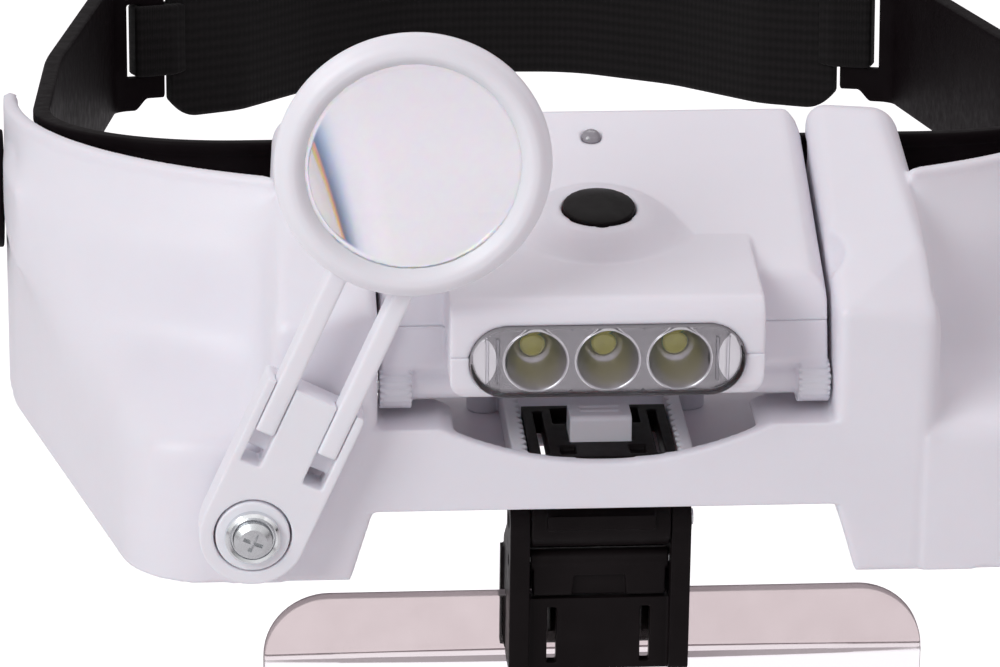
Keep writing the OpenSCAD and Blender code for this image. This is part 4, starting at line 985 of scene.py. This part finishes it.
def lens_plate():
    """The clear plate: a tab over a lens crowned on both faces, with eased edges."""
    w, z1, h, r = PLATE_HALF_W, PLATE_TOP, PLATE_H, PLATE_CORNER
    z0 = z1 - h
    step, mid = z1 - TAB_H, (z1 - TAB_H + z0) / 2
    reach = math.hypot(w, h / 2)
    zc = (z0 + z1) / 2

    def inset(x, z):
        qx, qz = abs(x) - (w - r), abs(z - zc) - (h / 2 - r)
        return -(math.hypot(max(qx, 0), max(qz, 0)) + min(max(qx, qz), 0) - r)

    def half_width(z):
        d = max(0.0, abs(z - zc) - (h / 2 - r))
        return w - r + math.sqrt(max(0.0, r * r - d * d))

    def thick(x, z):
        body = 1.5 + 1.4 * (1 - (x * x + (z - mid) ** 2) / reach ** 2)
        t = mix(body, 1.2, float(smooth((z - step + 0.15) / 0.5)))
        d = inset(x, z)
        if d < PLATE_EASE:
            t -= PLATE_EASE - math.sqrt(max(0.0, PLATE_EASE ** 2 - (PLATE_EASE - max(0.0, d)) ** 2))
        return t

    # the rows stand closer at the round corners, at the step and at both edges
    rows = [z0 + r * (1 - math.cos(a)) for a in np.linspace(0, math.pi / 2, 15)]
    rows += list(np.linspace(rows[-1], step - 0.6, 12))[1:]
    rows += list(np.linspace(step - 0.5, step + 0.7, 10))
    rows += [z1 - r * (1 - math.cos(a)) for a in np.linspace(math.pi / 2, 0, 15)]
    rows = sorted({round(z, 4) for z in rows if z0 <= z <= z1})
    rows = [z0, z0 + 0.02, z0 + 0.1, z0 + 0.25] + [z for z in rows if z0 + 0.4 < z < z1 - 0.4] \
        + [z1 - 0.25, z1 - 0.1, z1 - 0.02, z1]
    # the columns stand closer at both ends, where the edge is eased
    edge = [0.0, 0.03, 0.1, 0.22, PLATE_EASE]
    cols = 61
    front, back = [], []
    for z in rows:
        hw = half_width(z)
        inner = hw - PLATE_EASE
        xs = [-hw + e for e in edge] + list(np.linspace(-inner, inner, cols))[1:-1]
        xs += [hw - e for e in edge[::-1]]
        for x in xs:
            t = thick(x, z)
            front.append((x, PLATE_Y - t, z))
            back.append((x, PLATE_Y + t, z))
    n = cols - 2 + 2 * len(edge)
    m = len(rows)
    faces = []
    for i in range(m - 1):
        for j in range(n - 1):
            a = i * n + j
            faces.append((a, a + 1, a + n + 1, a + n))
            faces.append((m * n + a, m * n + a + n, m * n + a + n + 1, m * n + a + 1))
    rim = list(range(n)) + [i * n + n - 1 for i in range(1, m)] \
        + [(m - 1) * n + j for j in range(n - 2, -1, -1)] + [i * n for i in range(m - 2, 0, -1)]
    for k, a in enumerate(rim):
        b = rim[(k + 1) % len(rim)]
        faces.append((a, m * n + a, m * n + b, b))
    return mesh_from("lens_plate_clear", front + back, faces, True, 50)


dress(lens_plate(), PLATE, "lens", "clear_lens", "lens_plate")

LOUPE_LEAN, LOUPE_X, LOUPE_Z = math.radians(23.7), -52, -14.4
GLASS_X, GLASS_Y, GLASS_Z = -2.4, -149.25, 62.2
GLASS_R, GLASS_EDGE, GLASS_CROWN, GLASS_RIM_R, GLASS_RIM_EDGE = 15.4, 0.7, 1.3, 15.65, 0.5


def in_loupe(x, y, z):
    """A point given in the frame of the loupe's arm, before its lean."""
    c, s = math.cos(LOUPE_LEAN), math.sin(LOUPE_LEAN)
    return (LOUPE_X + x * c + z * s, y, LOUPE_Z - x * s + z * c)


def loupe_lens():
    """The round lens, crowned on both faces, with its rim in the ring's seat."""
    steps = 20
    face = [(GLASS_R * i / steps, GLASS_EDGE + GLASS_CROWN * (1 - (i / steps) ** 2))
            for i in range(1, steps + 1)]
    rim = [(GLASS_RIM_R, -GLASS_RIM_EDGE), (GLASS_RIM_R, GLASS_RIM_EDGE)]
    profile = [(r, -y) for r, y in face] + rim + face[::-1]
    n, m = 144, len(profile)
    points = [in_loupe(GLASS_X + r * c, GLASS_Y + y, GLASS_Z + r * s)
              for c, s in compass(n) for r, y in profile]
    middle = GLASS_EDGE + GLASS_CROWN
    points += [in_loupe(GLASS_X, GLASS_Y + y, GLASS_Z) for y in (-middle, middle)]
    faces = []
    for k in range(n):
        a, b = k * m, ((k + 1) % n) * m
        faces += [(a + i, a + i + 1, b + i + 1, b + i) for i in range(m - 1)]
        faces += [(n * m, a, b), (n * m + 1, b + m - 1, a + m - 1)]
    return mesh_from("loupe_glass", points, faces, True, 35)


dress(loupe_lens(), LENS, "loupe", "clear_lens", "loupe_lens")

# Lamp window and its three cups
WINDOW_W, WINDOW_H, WINDOW_Y, WINDOW_IN, WINDOW_SKIRT = 40.0, 10.8, -147.0, -145.6, -143.8
CUP_R, CUP_DEPTH, CUP_HOLE, CUP_Y, CUP_EDGE = 4.4, 7.0, 1.9, -145.45, 0.66
GUIDE_HALF_H, GUIDE_STEP, GUIDES_AT = 3.4, 1.5, (("left", 15.9), ("right", -17.4))


def stadium(w, h, n=24):
    """Points round a shape with round ends, w by h, starting at its right end."""
    ring = arc(w / 2 - h / 2, 0, h / 2, -math.pi / 2, math.pi / 2, n + 1)
    return ring + [(-x, -z) for x, z in ring]


def window():
    """The clear window: a shallow tray with an eased rim and a face that bulges a little."""
    rings = [(WINDOW_SKIRT, 0.0), (WINDOW_Y + 0.7, 0.0), (WINDOW_Y + 0.32, 0.1), (WINDOW_Y + 0.1, 0.32),
             (WINDOW_Y, 0.7), (WINDOW_Y - 0.04, 2.2)]
    inner = [(WINDOW_IN, 2.2), (WINDOW_IN, 1.0), (WINDOW_IN + 0.2, 0.7), (WINDOW_SKIRT, 0.6)]
    points = []
    for y, d in rings + inner:
        points += [(BOX_X + x, y, WINDOW_Z + z) for x, z in stadium(WINDOW_W - 2 * d, WINDOW_H - 2 * d)]
    m, n = len(stadium(10, 4)), len(rings + inner)
    faces = [(i * m + k, i * m + (k + 1) % m, ((i + 1) % n) * m + (k + 1) % m, ((i + 1) % n) * m + k)
             for i in list(range(len(rings) - 1)) + list(range(len(rings), n)) for k in range(m)]
    for i in (len(rings) - 1, len(rings)):
        faces.append(tuple(i * m + k for k in range(m)))
    return mesh_from("lamp_window", points, faces, True, 45)


def guide_line():
    """A thin clear rib inside the window."""
    ring = [(-0.22, 0), (-0.16, -0.34), (0.16, -0.34), (0.22, 0)]
    points = [(x, WINDOW_IN + 0.02 - y, WINDOW_Z + z) for z in (-GUIDE_HALF_H, GUIDE_HALF_H) for x, y in ring]
    faces = [(0, 1, 5, 4), (1, 2, 6, 5), (2, 3, 7, 6), (3, 0, 4, 7), (0, 1, 2, 3), (4, 5, 6, 7)]
    return mesh_from("guide", points, faces, False)


def cup_cell():
    """One chromed cup in its share of the plate, with a bright lip round its mouth."""
    n = 72
    profile = [(CUP_HOLE + (CUP_R - CUP_HOLE) * math.sqrt(t), CUP_Y + CUP_DEPTH * (1 - t))
               for t in np.linspace(0, 1, 16)]
    profile += [(CUP_R + out, CUP_Y + back)
                for out, back in ((0.06, -0.1), (0.16, -0.17), (0.27, -0.12), (0.32, 0.02))]
    points = [(r * c, y, r * s) for r, y in profile for c, s in compass(n)]
    w, h = CUP_PITCH / 2, WINDOW_H / 2 - CUP_EDGE
    for y in (CUP_Y + 0.06, CUP_Y + 0.8):
        for c, s in compass(n):
            t = min(w / max(abs(c), 1e-6), max(h, CUP_R + 0.4) / max(abs(s), 1e-6))
            points.append((c * t, y, s * min(t, h / max(abs(s), 1e-6))))
    return mesh_from("cup", points, tube_faces(len(profile) + 2, n), True, 40)


def plate_end():
    """The round end of the cups' plate, beyond the last cup."""
    r, x0, x1 = WINDOW_H / 2 - CUP_EDGE, 1.5 * CUP_PITCH, WINDOW_W / 2 - CUP_EDGE
    ring = [(x0, -r)] + arc(x1 - r, 0, r, -math.pi / 2, math.pi / 2, 25) + [(x0, r)]
    points = [(x, y, z) for y in (CUP_Y + 0.3, CUP_Y + 0.9) for x, z in ring]
    return mesh_from("plate_end", points, tube_faces(2, len(ring), True), False)


dress(window(), WINDOW, "lamp", "clear_window", "light_window")
for side, x in GUIDES_AT:
    guides = repeated("window_guides_" + side, guide_line(), LINE_TREE, WINDOW, 2,
                      (x * MM + BOX_X * MM, 0, 0), (GUIDE_STEP * MM, 0, 0))
    dress(guides, WINDOW, "lamp", "clear_window")
cups = repeated("lamp_cups", cup_cell(), LINE_TREE, CUP_CHROME, 3,
                ((BOX_X - CUP_PITCH) * MM, 0, WINDOW_Z * MM), (CUP_PITCH * MM, 0, 0))
shade(cups.data, angle=40)
dress(cups, CUP_CHROME, "lamp", "chrome", "reflector")
for s in (1, -1):
    tip = plate_end()
    tip.data.transform(Matrix.Translation((BOX_X * MM, 0, WINDOW_Z * MM)) @ Matrix.Diagonal((s, 1, 1, 1)))
    if s < 0:
        tip.data.flip_normals()
    tip.name = "lamp_plate_end_" + ("left" if s > 0 else "right")
    dress(tip, CUP_CHROME, "lamp", "chrome")

# Strap and pad
STRAP_BACK, STRAP_H, STRAP_T, STRAP_END_RUN, STRAP_END_IN = 106.0, 28.0, 1.8, 6, 3.3
STRAP_START = ARM_END + ARM_DIR
STRAP_RUN = rounded([(0, STRAP_BACK, 0), (16, STRAP_BACK - 1, 20), (34, STRAP_BACK - 16, 30),
                     (48, STRAP_BACK - 36, 12), (*STRAP_START, 0)], 24)
STRAP_PATH = np.concatenate([STRAP_RUN[::-1] * [-1, 1], STRAP_RUN[1:]])


def past_roll(share):
    """How far a share of the elastic's half width lies into its rolled edge, from 0 to 1."""
    return max(0.0, (abs(share) - 0.93) / 0.07)


def elastic_strap():
    """The elastic behind the head, and its length: a flat woven band with rolled edges and round ends."""
    total = lengths(STRAP_PATH)[-1]
    n = 220
    shares = np.linspace(0, 1, n + 1)
    mid = along(STRAP_PATH, shares)
    side = beside(mid, 1.0) - mid
    across = [-1.0, -0.985, -0.95, -0.9] + list(np.linspace(-0.8, 0.8, 17)) + [0.9, 0.95, 0.985, 1.0]
    k = len(across)
    points, uvs = [], []
    for i, s in enumerate(shares):
        d = min(s, 1 - s) * total
        half = STRAP_H / 2 - STRAP_END_IN * max(0.0, 1 - d / STRAP_END_RUN) ** 2.2
        for face in (1, -1):
            for a in across:
                t = STRAP_T / 2 * math.sqrt(max(0.0, 1 - past_roll(a) ** 2))
                p = mid[i] + side[i] * face * max(0.12, t)
                points.append(in_loop(p[0], p[1], a * half))
                uvs.append((s * total * MM, (a * half + (0 if face > 0 else 40)) * MM))
    faces = []
    for i in range(n):
        for f in (0, 1):
            for j in range(k - 1):
                a = (2 * i + f) * k + j
                b = a + 2 * k
                faces.append((a, a + 1, b + 1, b) if f == 0 else (a, b, b + 1, a + 1))
        for j in (0, k - 1):
            a, b = 2 * i * k + j, (2 * i + 1) * k + j
            faces.append((a, b, b + 2 * k, a + 2 * k))
    for i in (0, n):
        for j in range(k - 1):
            a, b = 2 * i * k + j, (2 * i + 1) * k + j
            faces.append((a, b, b + 1, a + 1))
    return cloth_mesh("elastic", points, faces, uvs), total


def cloth_mesh(name, points, faces, uvs):
    """A smooth mesh object in metres from points in millimetres, with the weave's UV map."""
    mesh = bpy.data.meshes.new(name)
    mesh.from_pydata([tuple(c * MM for c in p) for p in points], [], faces)
    layer = mesh.uv_layers.new(name="cloth")
    for loop in mesh.loops:
        layer.data[loop.index].uv = uvs[loop.vertex_index]
    bm = bmesh.new()
    bm.from_mesh(mesh)
    bmesh.ops.recalc_face_normals(bm, faces=bm.faces)
    bm.to_mesh(mesh)
    bm.free()
    shade(mesh)
    return add_object(name, mesh)


def strap_fold(sign):
    """The end of the elastic, folded round the bar of the arm and stitched to itself."""
    gap, fold_t = 0.15, 1.2
    bar = SLOT_AT - SLOT_W / 2
    inner = 1.1 + gap
    outer = inner + fold_t
    y_in = SLOT_W / 2 - gap
    y_far = y_in + bar + 2 * gap
    y_out, y_taper, y_seam = y_in - fold_t, SLOT_AT + 1.6, SLOT_AT + 4
    outline = closed([(-outer, y_out), (outer, y_out), (outer, y_taper), (STRAP_T / 2, y_seam),
                      (-STRAP_T / 2, y_seam), (-outer, y_taper)], (0.8, 0.8, 1.0, 0.3, 0.3, 1.0), 5)
    hole = closed([(-inner, y_in), (inner, y_in), (inner, y_far), (-inner, y_far)], (0.3,) * 4, 5)
    n = 96
    centre = np.array([0.0, y_in + bar / 2])
    rings = [[last_crossing(path, centre, np.array(way)) for way in compass(n)] for path in (outline, hole)]
    half = SLOT_H / 2 - 0.3
    turn = math.atan2(-ARM_DIR[0], ARM_DIR[1])
    c, s = math.cos(turn), math.sin(turn)

    def place(q, z):
        x, y = SLOT_C[0] + q[0] * c - q[1] * s, SLOT_C[1] + q[0] * s + q[1] * c
        return in_loop(sign * x, y, SLOT_UP + z)

    levels = [-1.0, -0.98, -0.93] + list(np.linspace(-0.85, 0.85, 9)) + [0.93, 0.98, 1.0]
    points, uvs = [], []
    k = len(levels)
    for r in (0, 1):
        for i in range(n):
            q, mate = rings[r][i], rings[1 - r][i]
            for z in levels:
                p = q + (mate - q) * (0.35 * past_roll(z) ** 2)
                points.append(place(p, z * half))
                uvs.append((i * 0.45 * MM, (z * half + 80 * r) * MM))
    faces = []
    for r in (0, 1):
        for i in range(n):
            for j in range(k - 1):
                a, b = (r * n + i) * k + j, (r * n + (i + 1) % n) * k + j
                faces.append((a, b, b + 1, a + 1))
    for i in range(n):
        for j in (0, k - 1):
            a, b = i * k + j, ((i + 1) % n) * k + j
            faces.append((a, b, b + n * k, a + n * k))
    return cloth_mesh("elastic_fold_" + ("left" if sign > 0 else "right"), points, faces, uvs)


strap, strap_length = elastic_strap()
dress(strap, ELASTIC, "headband", "strap_elastic", "elastic_strap")
folds = [dress(strap_fold(s), ELASTIC, "headband", "strap_elastic") for s in (1, -1)]

PAD_HALF_L, PAD_HALF_H, PAD_GAP, PAD_MID_T, PAD_CROWN, PAD_END = 55.0, 9.4, 1.15, 2.5, 2.4, 6
CHANNELS_AT, CHANNEL_DEPTH, CHANNEL_W = (0.25, 0.5, 0.75), 0.9, 1.6


def brow_pad():
    """The foam pad: crowned, with its sides pulled in and three moulded channels."""
    half = ARM_RUN[ARM_RUN[:, 1] < -40]
    run = along(half, np.linspace(0, PAD_HALF_L / lengths(half)[-1], 60))
    path = np.concatenate([run[::-1] * [-1, 1], run[1:]])
    inward = path - beside(path, 1.0)
    s = lengths(path) / lengths(path)[-1]
    m = 36
    points = []
    for i in range(len(path)):
        end = min(s[i], 1 - s[i]) * 2 * PAD_HALF_L
        close = math.sqrt(max(0.0, 1 - (max(0.0, PAD_END - end) / PAD_END) ** 2))
        for ca, sa in compass(m):
            z = PAD_HALF_H * math.copysign(abs(sa) ** 0.62, sa) * mix(0.72, 1.0, close)
            t = (PAD_MID_T + PAD_CROWN * math.copysign(abs(ca) ** 0.7, ca)) * mix(0.45, 1.0, close)
            if ca > 0:
                for channel in CHANNELS_AT:
                    away = (s[i] - channel) * 2 * PAD_HALF_L / CHANNEL_W
                    t -= CHANNEL_DEPTH * math.exp(-away ** 2) * ca
            p = path[i] + inward[i] * (PAD_GAP + max(0.05, t))
            points.append(in_loop(p[0], p[1], z))
    return mesh_from("pad_cushion", points, tube_faces(len(path), m, True))


pad = dress(brow_pad(), FOAM, "headband", "pad_foam", "brow_pad")


# Camera, lamps, floor
def look(pos, yaw, pitch, roll):
    """World matrix of a camera that looks along -Z, from angles in degrees."""
    y, p, r = (math.radians(a) for a in (yaw, pitch, roll))
    ahead = Vector((math.sin(y) * math.cos(p), math.cos(y) * math.cos(p), -math.sin(p)))
    side = Vector((math.cos(y), -math.sin(y), 0.0))
    up = side.cross(ahead)
    side, up = math.cos(r) * side + math.sin(r) * up, math.cos(r) * up - math.sin(r) * side
    m = Matrix((side, up, -ahead)).transposed().to_4x4()
    m.translation = pos
    return m


FOCAL_PIXELS, PICTURE_PIXELS, SENSOR = 5270.02, 1000, 36.0
CAMERA_AT, CAMERA_TURN = (-0.071664, -0.845160, 0.299244), (4.5227, 21.961, 0.762)
camera = add_object("camera", bpy.data.cameras.new("camera"))
camera.data.sensor_fit = "HORIZONTAL"
camera.data.sensor_width = SENSOR
camera.data.lens = FOCAL_PIXELS * SENSOR / PICTURE_PIXELS
camera.data.clip_start = 0.05
camera.data.clip_end = 20
camera.matrix_world = look(Vector(CAMERA_AT), *CAMERA_TURN)
bpy.context.scene.camera = camera


def area_lamp(name, pos, target, size, power, tint):
    data = bpy.data.lights.new(name, "AREA")
    data.color = tint
    data.shape = "RECTANGLE"
    data.size, data.size_y = size
    data.energy = power
    lamp = add_object(name, data)
    lamp.location = pos
    lamp.rotation_euler = (Vector(target) - Vector(pos)).to_track_quat("-Z", "Y").to_euler()


area_lamp("key", (-0.75, -0.8, 0.7), (0, -0.1, 0), (0.6, 0.6), 6.8, (0.955, 0.995, 0.995))
area_lamp("fill", (0.9, -0.6, 0.5), (0, -0.1, 0), (0.9, 0.9), 0.9, (1.0, 0.96, 0.98))
area_lamp("back", (0.1, 0.5, 1.0), (0, 0, 0), (1.0, 0.5), 2.2, (0.97, 0.98, 1.0))


def seen_or_through(tree, path):
    """1 for rays from the camera and for those that came through a lens."""
    return tree.math("MAXIMUM", path["Is Camera Ray"], path["Is Transmission Ray"])


def world():
    """White to the eye and through the lenses, a dimmer room for the light, a soft box for the gloss."""
    studio = bpy.data.worlds.new("studio")
    bpy.context.scene.world = studio
    studio.use_nodes = True
    tree = Tree(studio.node_tree)
    path = tree.node("LightPath").outputs
    toward = tree.node("VectorMath")
    toward.operation = "DOT_PRODUCT"
    tree.link(tree.node("TexCoord").outputs["Generated"], toward.inputs[0])
    toward.inputs[1].default_value = (-0.35, -0.2, 0.9)
    gloss = tree.spread(toward.outputs["Value"], 0.04, 1.05, -0.35, 0.85)
    room = tree.blend(path["Is Glossy Ray"], (0.43, 0.395, 0.415), gloss)
    light = tree.blend(seen_or_through(tree, path), room, (1.0, 1.0, 1.0))
    tree.link(light, tree.nodes["Background"].inputs["Color"])


world()

FLOOR_Z, FLOOR_REACH, FLOOR_GLOW = -0.19, 6, 0.55


def floor():
    """A wide pale floor under the part that glows a little to the eye, so that it meets the white."""
    bm = bmesh.new()
    bmesh.ops.create_grid(bm, x_segments=8, y_segments=8, size=FLOOR_REACH)
    bmesh.ops.translate(bm, verts=bm.verts, vec=(0, 0, FLOOR_Z))
    mesh = bpy.data.meshes.new("floor")
    bm.to_mesh(mesh)
    bm.free()
    obj = add_object("floor", mesh)
    f = Finish("floor white")
    f.set(Roughness=0.9, Specular_IOR_Level=0.0, Base_Color=(0.9, 0.9, 0.9, 1),
          Emission_Color=(1, 1, 1, 1))
    seen = seen_or_through(f, f.node("LightPath").outputs)
    f.link(f.math("MULTIPLY", seen, FLOOR_GLOW), f.shader.inputs["Emission Strength"])
    obj.data.materials.append(f.mat)


floor()
bpy.context.scene.view_settings.view_transform = "Standard"
